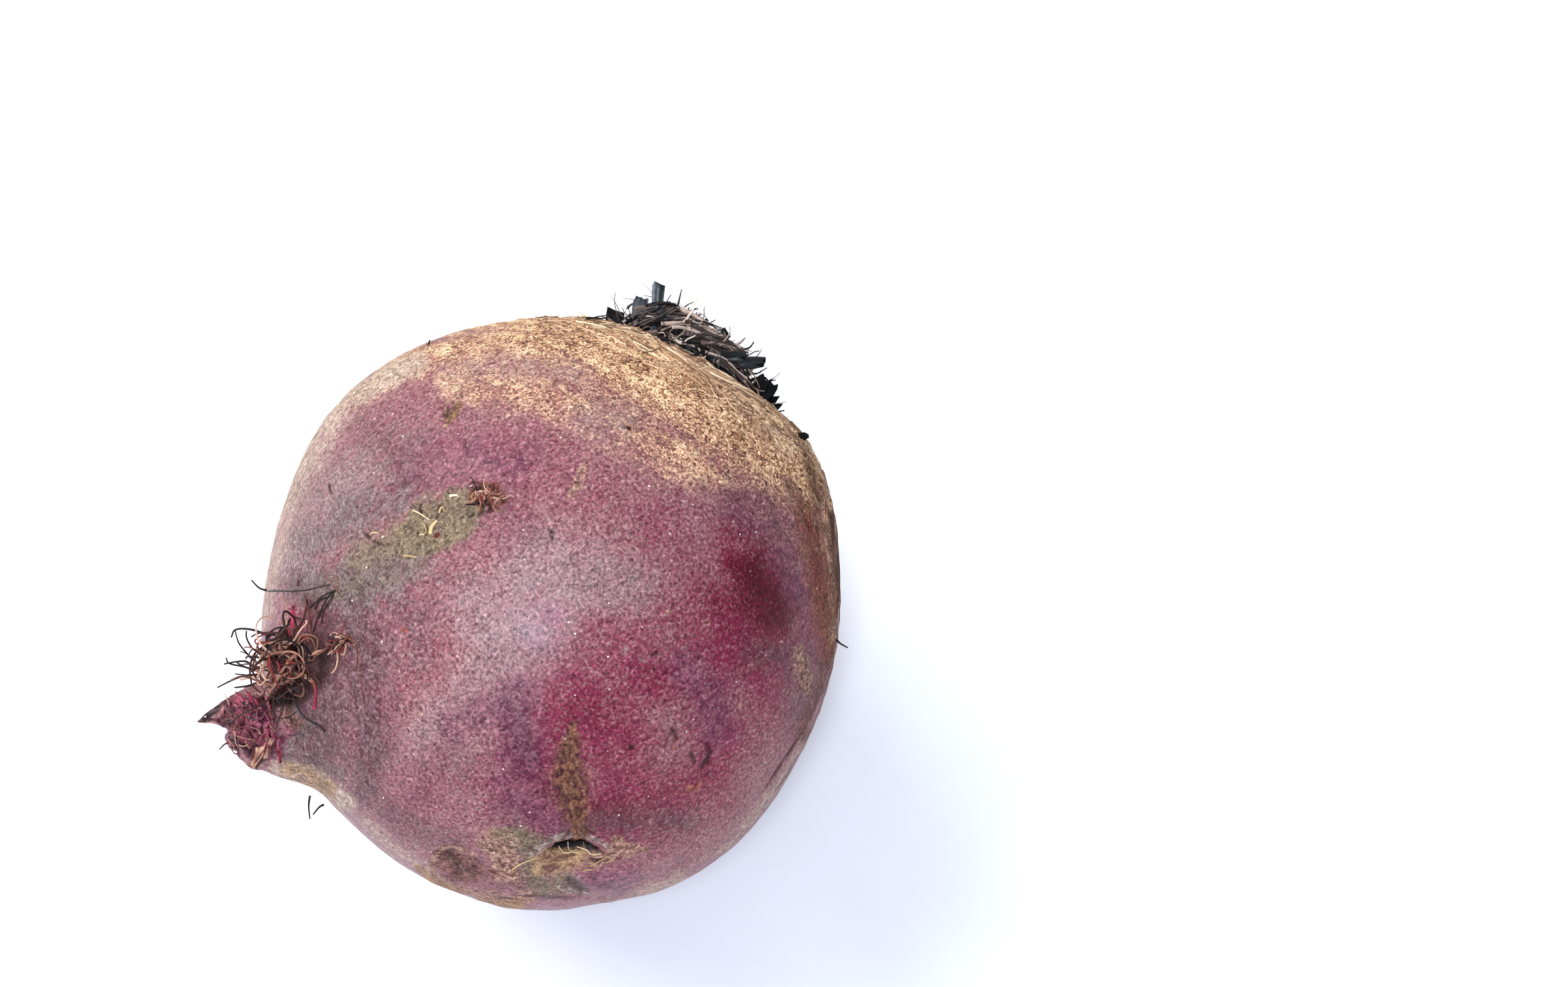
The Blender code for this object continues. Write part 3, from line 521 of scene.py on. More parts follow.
    ("scab", 1.2, 0.8, -0.2, *placed((111, 2, 0.7), (115, -5, 1.9), (114, -14, 0.9))),
    ("scab", 1.2, 0.8, 0.1, *placed((-20, -30, 0.8), (-15, -35, 1.8), (-6, -37, 0.8))),
    ("crimson", 2.2, 0.6, 0, *placed((70, 20, 6), (95, 5, 8), (85, -12, 6))),
    ("crimson", 2.2, 0.5, 0, *placed((-70, -20, 6), (-100, -35, 8), (-150, -35, 6))),
    ("crimson", 2.2, 0.5, 0, *placed((140, -30, 7), (165, -40, 7))),
    ("dark", 0.8, 0.8, -0.3, *placed((100, 28, 0.35), (101, 25, 0.3))),
    ("dark", 0.8, 0.8, -0.3, *placed((84, -2, 0.4), (86, -4, 0.3))),
]
markKinds = sorted({kind for kind, *rest in marks})
skinMasks = sorted({*markKinds, "cork", "charred", "crusted"} - {"corky"})

skinRelief = {
    # coarse, middle and fine waves: size of their lumps in mm, seed, height in mm
    "waves": [(6, 21, 0.10), (2.3, 22, 0.06), (1.2, 23, 0.03)],
    "fade": (0.15, 0.3),  # marks of pixels end round the outline: from, over
    "wideMark": 3,  # mm: a mark this wide has a coarser edge
    # degrees from the crown where these end, over how many degrees, and how ragged
    "cork": (72, 32, 5.0, 2.5), "plate": (27, 8), "charred": (19.5, 3, 2.0),
    "rings": (17, 8, 46, 22),  # folds of the shoulder: from, over, to, over
    "ringsPerDegree": 2.6, "ringHeight": 0.10, "corkHeight": 0.14,
    "leafScarsPerDegree": 2.1, "leafScarHeight": 0.35, "plateHeight": 0.4,
    "foldWaves": [(3.4, 31, -2.8), (1.6, 32, 1.1)], "foldMean": 0.8, "creaseUnder": 0.55, "foldHeight": 0.8,
    "crustHeights": (0.12, 0.16), "knobWave": (1.0, 33, 0.8),
    "streakRadius": 12.0,  # mm: the less, the longer the cork's streaks round the crown
}

skinLook = {
    "flesh": "#70223a", "deepFlesh": "#460214",  # crimson under the outer skin, and where it is deepest
    "dust": "#8c6b69",  # pale dry outer skin
    "cork": [(0.38, "#44271a"), (0.48, "#a5754f"), (0.61, "#efca9d")],  # fissures, corky skin, lifted flakes
    # pattern: what it follows, size of its lumps in mm, detail, distortion. Real dust and pores are 0.05
    # to 0.15 mm wide, too fine to show, so grain and speckle are drawn coarser.
    "patterns": {
        "grain": ("object", 0.24, 2.0, 0.4), "speckle": ("object", 0.2, 3.0, 0.8),
        "clumps": ("object", 0.8, 3.0, 0.3), "mottle": ("object", 4.5, 3.0, 0.6),
        "broad": ("object", 15.0, 2.0, 0.0),
        "worm": ("object", 0.3, 1.0, 1.6), "streaky": ("round", 1.3, 3.0, 1.0),
        "crust": ("object", 0.45, 4.0, 0.9), "fibres": ("upright", 0.5, 3.0, 0.3),
        "folds": ("object", 0.9, 4.0, 1.2),
    },
    "upright": (1.6, 1.6, 0.3),  # how fibres are drawn out
    # share of the dusty outer skin, how far each pattern breaks it up, and what the marks add to it
    "cover": 0.50,
    "breakUp": {"grain": 0.85, "clumps": 0.34, "mottle": 0.4, "broad": 0.55},
    "coverMarks": {"bloom": 0.5, "crimson": -0.95, "bare": -0.45},
    "grains": ("#bf9a94", 0.28, "#35121c", 0.5),  # pale dust with painted glints on the pores' rims, the pores, their strengths
    "speckled": (0.38, 1.62),  # darkest and lightest of the dust, next to its colour
    "corkEdge": {"streaky": 0.6, "mottle": 0.35, "clumps": 0.4, "grain": 0.6},
    # mask, darker and lighter tone, its pattern, how much that breaks the edge, cover
    "bands": [
        # dusty bloom, also a painted sheen of reflected light
        ("bloom", "#745d60", "#857072", "clumps", 0.5, 0.45),
        ("plum", "#4f2238", "#7b4753", "clumps", 0.5, 0.72),
        # painted shade: darker purple-brown where the skin lies in shadow
        ("dusk", "#3c282c", "#604a4c", "clumps", 0.7, 0.8),
        # pale skin, and painted light along the rims and on the upper right shoulder
        ("pale", "#857262", "#c6b29e", "crust", 0.5, 0.8),
        ("grey", "#4a4140", "#6e6460", "clumps", 0.6, 0.75),
        ("olive", "#57493a", "#7c6c54", "crust", 0.6, 0.95),
        # corky umber, darkened as painted shade at the right edge
        ("umber", "#1f0c0a", "#57311f", "crust", 0.9, 0.97),
        ("brown", "#371f20", "#80584e", "crust", 0.9, 0.92),
        ("ridge", "#5a4a44", "#a08c80", "crust", 0.7, 0.95),
        ("scab", "#3f2b20", "#80603f", "crust", 0.9, 0.95),
        ("tan", "#4a2f27", "#ab8670", "crust", 1, 0.9),
        ("ochre", "#5f4530", "#a5835f", "clumps", 0.6, 0.9),
        ("scar", "#301a17", "#80573f", "fibres", 1, 0.92),
    ],
    "woundBands": [
        ("wound", "#1c050c", "#7c3a48", "fibres", 0.4, 1),
        # painted shade in creases
        ("crease", "#1e0710", "#3a0c1e", "clumps", 0.3, 0.9),
        ("burnt", "#120b0c", "#4c3634", "folds", 0.5, 1),
        # pale pink skin, also painted highlights on the oval's ridges
        ("pink", "#8c5650", "#cfa79c", "clumps", 0.6, 1),
        ("knob", "#26120d", "#84503e", "crust", 0.9, 0.9),
        ("rust", "#5e2018", "#8e4434", "crust", 0.9, 0.8),
        ("charred", "#0d0a0b", "#3c322e", "clumps", 0.5, 1),
        # dark specks and cracks, and painted shade by the taproot and under the rootlet tangle
        ("dark", "#160c0b", "#38221e", "clumps", 0.6, 0.9),
        # painted shade: near black inside holes
        ("hole", "#060302", "#140b07", "clumps", 0, 1),
    ],
    # bare of grains
    "crusts": ("scab", "scar", "brown", "umber", "olive", "grey", "tan", "ochre", "ridge", "dark"),
    "whiteGrit": (2.0, "#e6d3cc"), "flecks": (7.5, "#2c1517", "#5c2a20"),  # spacing in mm, colours
    # relief in mm, and what makes it: pattern, mark, share
    "relief": 0.2,
    "reliefMarks": [("worm", "cork", 1.2), ("crust", "scab", 1.2), ("fibres", "scar", 1.2),
                    ("crust", "olive", 0.5), ("crust", "tan", 1.2), ("crust", "brown", 1.4),
                    ("folds", "wound", 1.0), ("fibres", "wound", 2.0), ("folds", "burnt", 2.0)],
    "roughness": 0.34, "ior": 1.4, "gloss": 0.18,
    # what is rough, next to the smooth dusty skin
    "rougher": {"cork": 0.35, "crusted": 0.42, "pale": 0.3, "bare": 0.12, "dusk": 0.2, "wound": -0.2},
}


def ripple(points, size, seed):  # noise with lumps this many mm wide
    shift = Vector((seed * 7.31, seed * 3.17, seed * 5.73))
    return np.array([noise.noise(Vector(p) / size + shift) for p in points])


def strokeDistance(points, path, widths):
    # how far each point lies from the path, in half widths of the stroke
    best = np.full(len(points), 1e3)
    for a, b, wideA, wideB in zip(path, path[1:], widths, widths[1:]):
        along = np.clip((points - a) @ (b - a) / ((b - a) @ (b - a)), 0, 1)
        away = np.linalg.norm(points - a - along[:, None] * (b - a), axis=1)
        best = np.minimum(best, away / (wideA + (wideB - wideA) * along))
    return best


def skinDetail(points, directions):  # relief in mm along the normal, and the masks of the colours
    r = skinRelief
    coarse, middle, fine = waves = [ripple(points, size, seed) for size, seed, height in r["waves"]]
    masks = {kind: np.zeros(len(points)) for kind in markKinds}
    lift = sum(height * wave for wave, (size, seed, height) in zip(waves, r["waves"]))
    # pixel paths are measured as seen, and fade out just round the outline, in a ragged edge
    facing = ((eye - points) * directions).sum(1) / np.linalg.norm(eye - points, axis=1)
    fadeFrom, fadeOver = r["fade"]
    shown = ease((facing + fadeFrom + 0.3 * coarse + 0.15 * middle) / fadeOver)
    asSeen = shownAt(points) * pixelSize
    for kind, edge, strength, relief, *stroke in marks:
        stroke = np.array(stroke, float)
        path, widths = stroke[:, :-1], stroke[:, -1]
        traced = path.shape[1] == 2  # a path of pixels
        away = strokeDistance(asSeen if traced else points, path * (pixelSize if traced else 1), widths)
        narrow = min(widths) < r["wideMark"]
        ragged = 0.3 * middle + 0.3 * fine if narrow else 0.35 * coarse + 0.3 * middle
        inside = ease((1 + ragged - away) / edge + 0.5) * strength * (shown if traced else 1)
        masks[kind] = np.maximum(masks[kind], inside)
        lift += relief * inside
    fromCrown = angleFrom(directions, globe["crown"])
    # the corky shoulder: it fades out between 40 and 72 degrees from the crown, in a ragged, streaky edge
    end, over, coarseEdge, middleEdge = r["cork"]
    cork = ease((end - fromCrown + coarseEdge * coarse + middleEdge * middle) / over)
    masks["cork"] = np.maximum(cork, masks.pop("corky"))
    start, startOver, end, over = r["rings"]
    ringed = np.sin(fromCrown * r["ringsPerDegree"] + 2.2 * coarse)
    ringed *= ease((fromCrown - start) / startOver) * ease((end - fromCrown) / over)
    lift += r["ringHeight"] * ringed + r["corkHeight"] * masks["cork"] * middle
    # the crown plate: leaf scars in broken rings round the neck
    end, over = r["plate"]
    scars = r["leafScarHeight"] * np.sin(fromCrown * r["leafScarsPerDegree"] + 1.5 * coarse)
    lift += ease((end - fromCrown) / over) * (scars + r["plateHeight"] * middle)
    end, over, edge = r["charred"]
    masks["charred"] = ease((end - fromCrown + edge * middle) / over)
    # the torn wound on the stump: wrinkles with sharp creases between them, where painted shade darkens the
    # colour
    (broad, broadSeed, deep), (small, smallSeed, high) = r["foldWaves"]
    folds = r["foldMean"] + deep * np.abs(ripple(points, broad, broadSeed))
    folds += high * ripple(points, small, smallSeed)
    lift += (masks["wound"] + 0.15 * masks["burnt"]) * r["foldHeight"] * folds
    masks["crease"] = np.maximum(masks["crease"], ease(r["creaseUnder"] - folds) * masks["wound"])
    masks["crusted"] = np.max([masks[kind] for kind in skinLook["crusts"]], axis=0)
    crust = masks["scab"] + masks["scar"] + masks["brown"] + 0.4 * masks["olive"]
    ofMiddle, ofFine = r["crustHeights"]
    size, seed, height = r["knobWave"]
    lift += crust * (ofFine * fine + ofMiddle * middle) + masks["knob"] * height * ripple(points, size, seed)
    return lift, masks


def newObject(name, points, faces):  # a smooth mesh from points in mm
    mesh = bpy.data.meshes.new(name)
    mesh.from_pydata(points * mm, [], faces)
    mesh.polygons.foreach_set("use_smooth", [True] * len(faces))
    piece = bpy.data.objects.new(name, mesh)
    bpy.context.scene.collection.objects.link(piece)
    return piece


def setValues(mesh, name, values, kind="FLOAT", field="value"):  # an attribute of the mesh's points
    mesh.attributes.new(name, kind, "POINT").data.foreach_set(field, np.array(values, np.float32).ravel())


def makeSkin():
    directions, points = skinDirections, skinPoints
    piece = newObject("skin", points, skinFaces)
    mesh = piece.data
    normals = np.empty(len(points) * 3)
    mesh.vertices.foreach_get("normal", normals)
    lift, masks = skinDetail(points, directions)
    points = points + normals.reshape(-1, 3) * lift[:, None]
    points[:, 2] = np.maximum(points[:, 2], 0.0)  # the flat that it rests on
    mesh.vertices.foreach_set("co", (points * mm).ravel())
    mesh.uv_layers.new(name="OFBake").data.foreach_set("uv", np.array(skinUvs).ravel())
    for kind, values in masks.items():
        setValues(mesh, kind, values)
    # coordinates that run round the crown, for the streaks of the cork
    fromCrown = angleFrom(directions, globe["crown"])
    around = directions - np.outer(directions @ globe["crown"], globe["crown"])
    around /= np.maximum(np.linalg.norm(around, axis=1), 1e-6)[:, None]
    streaks = around * skinRelief["streakRadius"]
    streaks += np.outer(np.radians(fromCrown) * globe["radius"], globe["crown"])
    setValues(mesh, "streaks", streaks * mm, "FLOAT_VECTOR", "vector")
    return piece


def addBand(add, colour, band, pattern, mask):  # lays a mark's two tones over the colour so far
    kind, dark, light, name, broken, strength = band
    tones = add("MapRange", {"Value": pattern[name], "From Min": 0.32, "From Max": 0.68}, **soft)
    tones = add("Mix", {0: tones, 6: dark, 7: light}, **blend)
    ragged = add("Math", {0: pattern[name], 1: broken, 2: -broken / 2}, **addUp)
    inside = add("MapRange", {"Value": mask[kind], "From Min": 0.02, "From Max": 0.3}, **soft)
    edge = add("Math", {0: ragged, 1: inside, 2: mask[kind]}, **addUp)
    edge = add("MapRange", {"Value": edge, "From Min": 0.1, "From Max": 0.9, "To Max": strength}, **soft)
    return add("Mix", {0: edge, 6: colour, 7: tones}, **blend)


# Beetroot skin, unwashed: dry outer skin over crimson flesh. It reads as a dusty purple with pale
# grain, corky tan fissures towards the crown, and a weak broad sheen. Painted glints, sheen and shade are
# laid into its colour.
def unwashedBeetSkin():
    look = skinLook
    material, add, shader = newMaterial("unwashedBeetSkin")
    place = add("TexCoord").outputs["Object"]
    follows = {
        "object": place,
        "round": add("Attribute", attribute_name="streaks").outputs["Vector"],
        "upright": add("VectorMath", {0: place, 1: look["upright"]}, **product),
    }
    pattern = {name: add("TexNoise", {"Vector": follows[what], "Scale": 0.5 / (size * mm),
                                      "Detail": detail, "Distortion": distortion})
               for name, (what, size, detail, distortion) in look["patterns"].items()}
    mask = {kind: add("Attribute", attribute_name=kind).outputs["Fac"] for kind in skinMasks}

    cover = look["cover"] - sum(look["breakUp"].values()) / 2
    for name, share in look["breakUp"].items():
        cover = add("Math", {0: pattern[name], 1: share, 2: cover}, **addUp)
    for kind, share in look["coverMarks"].items():
        cover = add("Math", {0: mask[kind], 1: share, 2: cover}, **addUp)
    cover = add("MapRange", {"Value": cover, "From Min": -0.15, "From Max": 1.15}, **soft)
    deep = add("Math", {0: pattern["mottle"], 1: 0.5, 2: mask["crimson"]}, **addUp)
    deep = add("MapRange", {"Value": deep, "From Min": 0.35, "From Max": 1.3}, **soft)
    flesh = add("Mix", {0: deep, 6: look["flesh"], 7: look["deepFlesh"]}, **blend)
    colour = add("Mix", {0: cover, 6: flesh, 7: look["dust"]}, **blend)

    # corky shoulder, in streaks round the crown
    woven = add("Math", {0: pattern["worm"], 1: 0.7}, **product)
    woven = add("Math", {0: pattern["streaky"], 1: 0.3, 2: woven}, **addUp)
    fissures = add("ValToRGB", {"Fac": woven}, stops=look["cork"])
    edge = add("Math", {0: mask["cork"], 1: -sum(look["corkEdge"].values()) / 2}, operation="ADD")
    for name, share in look["corkEdge"].items():
        edge = add("Math", {0: pattern[name], 1: share, 2: edge}, **addUp)
    edge = add("MapRange", {"Value": edge, "From Min": 0.0, "From Max": 1.05}, **soft)
    inside = add("MapRange", {"Value": mask["cork"], "From Max": 0.3}, **soft)
    edge = add("Math", {0: edge, 1: inside}, **product)
    colour = add("Mix", {0: edge, 6: colour, 7: fissures}, **blend)

    for band in look["bands"]:
        colour = addBand(add, colour, band, pattern, mask)
    # pale grains, partly painted glints, and dark pores over all of it
    paleGrainAndGlint, paleShare, darkPore, poreShare = look["grains"]
    clean = add("Math", {0: mask["crusted"], 1: -0.8, 2: 1.0}, **addUp)
    clean = add("Math", {0: mask["crimson"], 1: -0.75, 2: clean}, **addUp)
    inside = add("MapRange", {"Value": pattern["grain"], "From Min": 0.5, "From Max": 0.74,
                              "To Max": paleShare}, **soft)
    inside = add("Math", {0: inside, 1: clean}, **product)
    colour = add("Mix", {0: inside, 6: colour, 7: paleGrainAndGlint}, **blend)
    inside = add("MapRange", {"Value": pattern["grain"], "From Min": 0.44, "From Max": 0.26,
                              "To Max": poreShare})
    colour = add("Mix", {0: inside, 6: colour, 7: darkPore}, **blend)
    for band in look["woundBands"]:
        colour = addBand(add, colour, band, pattern, mask)
    darkest, lightest = look["speckled"]
    tone = add("MapRange", {"Value": pattern["speckle"], "From Min": 0.3, "From Max": 0.7,
                            "To Min": darkest, "To Max": lightest})
    colour = add("Mix", {0: 1.0, 6: colour, 7: tone}, blend_type="MULTIPLY", **blend)

    # sparse white grit, dark and rusty flecks
    spacing, grit = look["whiteGrit"]
    speck = add("TexVoronoi", {"Vector": place, "Scale": 1 / (spacing * mm)})
    chosen = add("SeparateColor", {0: speck.outputs["Color"]})
    chosen = add("Math", {0: chosen, 1: 0.6}, operation="GREATER_THAN")
    inside = add("MapRange", {"Value": speck, "From Min": 0.09, "From Max": 0.04})
    inside = add("Math", {0: inside, 1: chosen}, **product)
    colour = add("Mix", {0: inside, 6: colour, 7: grit}, **blend)
    spacing, darkFleck, rustyFleck = look["flecks"]
    fleck = add("TexVoronoi", {"Vector": place, "Scale": 1 / (spacing * mm)})
    tone = add("SeparateColor", {0: fleck.outputs["Color"]})
    chosen = add("Math", {0: tone, 1: 0.5}, operation="GREATER_THAN")
    inside = add("Math", {0: pattern["clumps"], 1: 0.14, 2: fleck}, **addUp)
    inside = add("MapRange", {"Value": inside, "From Min": 0.145, "From Max": 0.11})
    inside = add("Math", {0: inside, 1: chosen}, **product)
    tone = add("Mix", {0: tone.outputs[1], 6: darkFleck, 7: rustyFleck}, **blend)
    colour = add("Mix", {0: inside, 6: colour, 7: tone}, **blend)

    # relief: grain all over, worm-like fissures on the cork, crust on the scars, folds in the wound
    height = add("Math", {0: pattern["grain"], 1: 0.25}, **product)
    height = add("Math", {0: pattern["clumps"], 1: 0.4, 2: height}, **addUp)
    for name, kind, share in look["reliefMarks"]:
        part = add("Math", {0: pattern[name], 1: mask[kind]}, **product)
        height = add("Math", {0: part, 1: share, 2: height}, **addUp)
    bump = add("Bump", {"Height": height, "Strength": 0.5, "Distance": look["relief"] * mm})
    rough = add("Math", {0: pattern["clumps"], 1: 0.2, 2: look["roughness"] - 0.1}, **addUp)
    for kind, share in look["rougher"].items():
        rough = add("Math", {0: mask[kind], 1: share, 2: rough}, **addUp)
    setInputs(shader, {"Base Color": colour, "Roughness": rough, "Normal": bump, "IOR": look["ior"],
                       "Specular IOR Level": look["gloss"]})
    return material


skinPiece = makeSkin()
skinPiece.data.materials.append(unwashedBeetSkin())
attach(skinPiece, "root")
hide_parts("root")
print("skin made:", len(skinPiece.data.polygons), "faces")


# from here on the finished skin carries everything
skinTree = BVHTree.FromPolygons([tuple(v.co / mm) for v in skinPiece.data.vertices], skinFaces)


def keptOff(path, lift):  # pushes a path's points out until they clear the skin
    kept = []
    for point in path:
        away = point - centre
        reach = np.linalg.norm(away)
        least = np.linalg.norm(overSkin(away / reach, lift) - centre)
        kept.append(centre + away / reach * max(reach, least))
    return np.array(kept)


def smoothPath(points, steps):  # a smooth curve through the points
    points = np.array(points, float)
    padded = np.vstack([2 * points[0] - points[1], points, 2 * points[-1] - points[-2]])
    path = []
    for k in range(len(points) - 1):
        a, b, c, d = padded[k:k + 4]
        for step in range(steps):
            t = step / steps
            path.append(0.5 * (2 * b + (c - a) * t + (2 * a - 5 * b + 4 * c - d) * t * t
                               + (3 * b - a - 3 * c + d) * t ** 3))
    return np.array([*path, points[-1]])


def newStore():
    return {"points": [], "faces": [], "tone": []}


def addLoft(store, sections, tones):  # a closed tube through rings of points, a tone for each ring or point
    count, start = len(sections[0]), len(store["points"])
    for section, tone in zip(sections, tones):
        store["points"] += [tuple(point) for point in section]
        store["tone"] += list(np.broadcast_to(tone, count))
    for k in range(len(sections) - 1):
        a, b = start + k * count, start + (k + 1) * count
        store["faces"] += [(a + i, a + (i + 1) % count, b + (i + 1) % count, b + i)
                           for i in range(count)]
    end = start + (len(sections) - 1) * count
    store["faces"] += [tuple(range(start + count - 1, start - 1, -1)), tuple(range(end, end + count))]


def addStrand(store, path, thickness, tone, taper=0.4, sides=4, flat=1.0, endTone=None):
    across = np.array([0.31, 0.62, 0.72])
    sections, tones, last = [], [], len(path) - 1
    endTone = tone if endTone is None else endTone
    for k, point in enumerate(path):
        ahead = path[min(k + 1, last)] - path[max(k - 1, 0)]
        ahead = ahead / max(np.linalg.norm(ahead), 1e-9)
        across = squareTo(ahead, across)
        other = np.cross(ahead, across) * flat
        radius = 0.5 * thickness * (1 - (1 - taper) * k / last)
        sections.append([point + radius * (cos(a) * across + sin(a) * other)
                         for a in np.linspace(0, 2 * pi, sides, endpoint=False)])
        tones.append(tone + (endTone - tone) * k / last)
    addLoft(store, sections, tones)


def curled(start, heading, length, curl, rng, steps, shake):
    # a path whose heading turns by the curl vector at every step
    point, heading = np.array(start, float), normalised(heading)
    path = [point]
    for step in range(steps):
        point = point + heading * length / steps
        path.append(point)
        sway = np.array([rng.gauss(0, 1) for axis in range(3)]) * shake
        heading = normalised(heading + np.cross(curl, heading) + sway)
    return np.array(path)


def drawn(rng, spans):  # a value from each range
    return [rng.uniform(*span) for span in spans]


def anyDirection(rng):
    return normalised(np.array([rng.gauss(0, 1) for axis in range(3)]))


# A torn strip of leaf stalk: ridged along its length, hollow inside, ragged at its end
blade = {
    "rows": 12, "columns": 7,
    "teeth": (-0.36, 0.06), "teethFrom": 0.62, "toothWidths": 2.2,  # shares of its length or width
    "veins": (0.55, 1.25), "streaks": 0.22,  # thickness of its ridges, and their tones
    "narrowing": (0.05, 0.35), "curlUp": (-0.1, 0.5),
    "thinEdge": 0.45, "thinEnd": 0.45, "crinkle": 0.12, "wavy": 0.05,
}


def addBlade(store, base, lean, wide, length, width, thickness, droop, tone, rng,
             endWidth=None, hollow=0.18):
    rows, columns = blade["rows"], blade["columns"]
    lean = normalised(lean)
    wide = squareTo(lean, wide)
    point = np.array(base, float)
    longest = min(length, blade["toothWidths"] * width)
    teeth = [rng.uniform(*blade["teeth"]) * longest for column in range(columns)]
    veins = [rng.uniform(*blade["veins"]) for column in range(columns)]
    streaks = np.array([rng.uniform(-blade["streaks"], blade["streaks"]) for column in range(columns)])
    phase, narrowing = rng.uniform(0, 6), rng.uniform(*blade["narrowing"])
    if endWidth is not None:
        narrowing = 1 - endWidth / width
    curlUp = rng.uniform(*blade["curlUp"])
    sections, tones = [], []
    for k in range(rows):
        share = k / (rows - 1)
        inner = np.cross(wide, lean)
        half = 0.5 * width * (1 - narrowing * share + 0.08 * sin(5 * share + phase))
        bow = (hollow + 1.4 * hollow * curlUp * share) * width
        front, back = [], []
        for column in range(columns):
            x = 2 * column / (columns - 1) - 1
            ragged = teeth[column] * max(0.0, (share - blade["teethFrom"]) / (1 - blade["teethFrom"]))
            place = point + wide * x * half - inner * bow * (1 - x * x) + lean * ragged
            deep = 0.5 * thickness * veins[column] * (1 - blade["thinEnd"] * share)
            deep *= blade["thinEdge"] if abs(x) == 1 else 1
            crinkle = blade["crinkle"] * sin(9 * share + 2.3 * column + phase)
            place = place + inner * thickness * crinkle
            front.append(place + inner * deep)
            back.append(place - inner * deep)
        sections.append(front + back[::-1])
        shade = tone + streaks * min(1.0, 3 * tone) + 0.08 * sin(7 * share + phase)
        tones.append(np.concatenate([shade, shade[::-1]]))
        point = point + lean * length / (rows - 1)
        sway = blade["wavy"] * sin(4 * share + phase)
        lean = normalised(lean + (droop * inner + sway * wide) / (rows - 1))
        wide = squareTo(lean, wide)
    addLoft(store, sections, tones)


def addVaried(store, path, kind, rng, **form):  # a strand with one of its kind's thicknesses and tones
    addStrand(store, path, rng.uniform(*kind["thickness"]), rng.choice(kind["tones"]), **form)


def makePiece(name, store, material, replaced=None):
    piece = newObject(name, np.array(store["points"]), store["faces"])
    mesh = piece.data
    setValues(mesh, "tone", store["tone"])
    mesh.set_sharp_from_angle(angle=radians(55))  # sharper bends stay creased
    mesh.materials.append(material)
    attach(piece, "root")
    if replaced:
        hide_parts(replaced)
    print(name, "made:", len(mesh.polygons), "faces")


def fibreMaterial(look):
    material, add, shader = newMaterial(look["name"])
    place = add("TexCoord").outputs["Object"]
    fine = add("TexNoise", {"Vector": place, "Scale": 0.5 / (look["grain"] * mm),
                            "Detail": 3.0, "Distortion": 0.8})
    broad = add("TexNoise", {"Vector": place, "Scale": 0.5 / (look["patch"] * mm), "Detail": 2.0})
    level = add("Attribute", attribute_name="tone").outputs["Fac"]
    for pattern in (fine, broad):
        level = add("Math", {0: pattern, 1: look["contrast"], 2: level}, **addUp)
    level = add("Math", {0: level, 1: look["contrast"]}, operation="SUBTRACT")
    ramp = add("ValToRGB", {"Fac": level}, stops=look["tones"])
    bump = add("Bump", {"Height": fine, "Strength": 0.7, "Distance": look["relief"] * mm})
    rough = add("MapRange", {"Value": fine, "To Min": look["roughness"][0], "To Max": look["roughness"][1]})
    setInputs(shader, {"Base Color": ramp, "Roughness": rough, "Normal": bump, "IOR": look["ior"],
                       "Specular IOR Level": look["gloss"]})
    return material


def threadPath(points):  # a thread through pixels, at the depth where its first point meets the skin
    depth = (seenAt(*points[0][:2]) - eye) @ ahead + 0.3
    return smoothPath([eye + sight(x, y) * (depth - nearer) for x, y, nearer in points], 5)


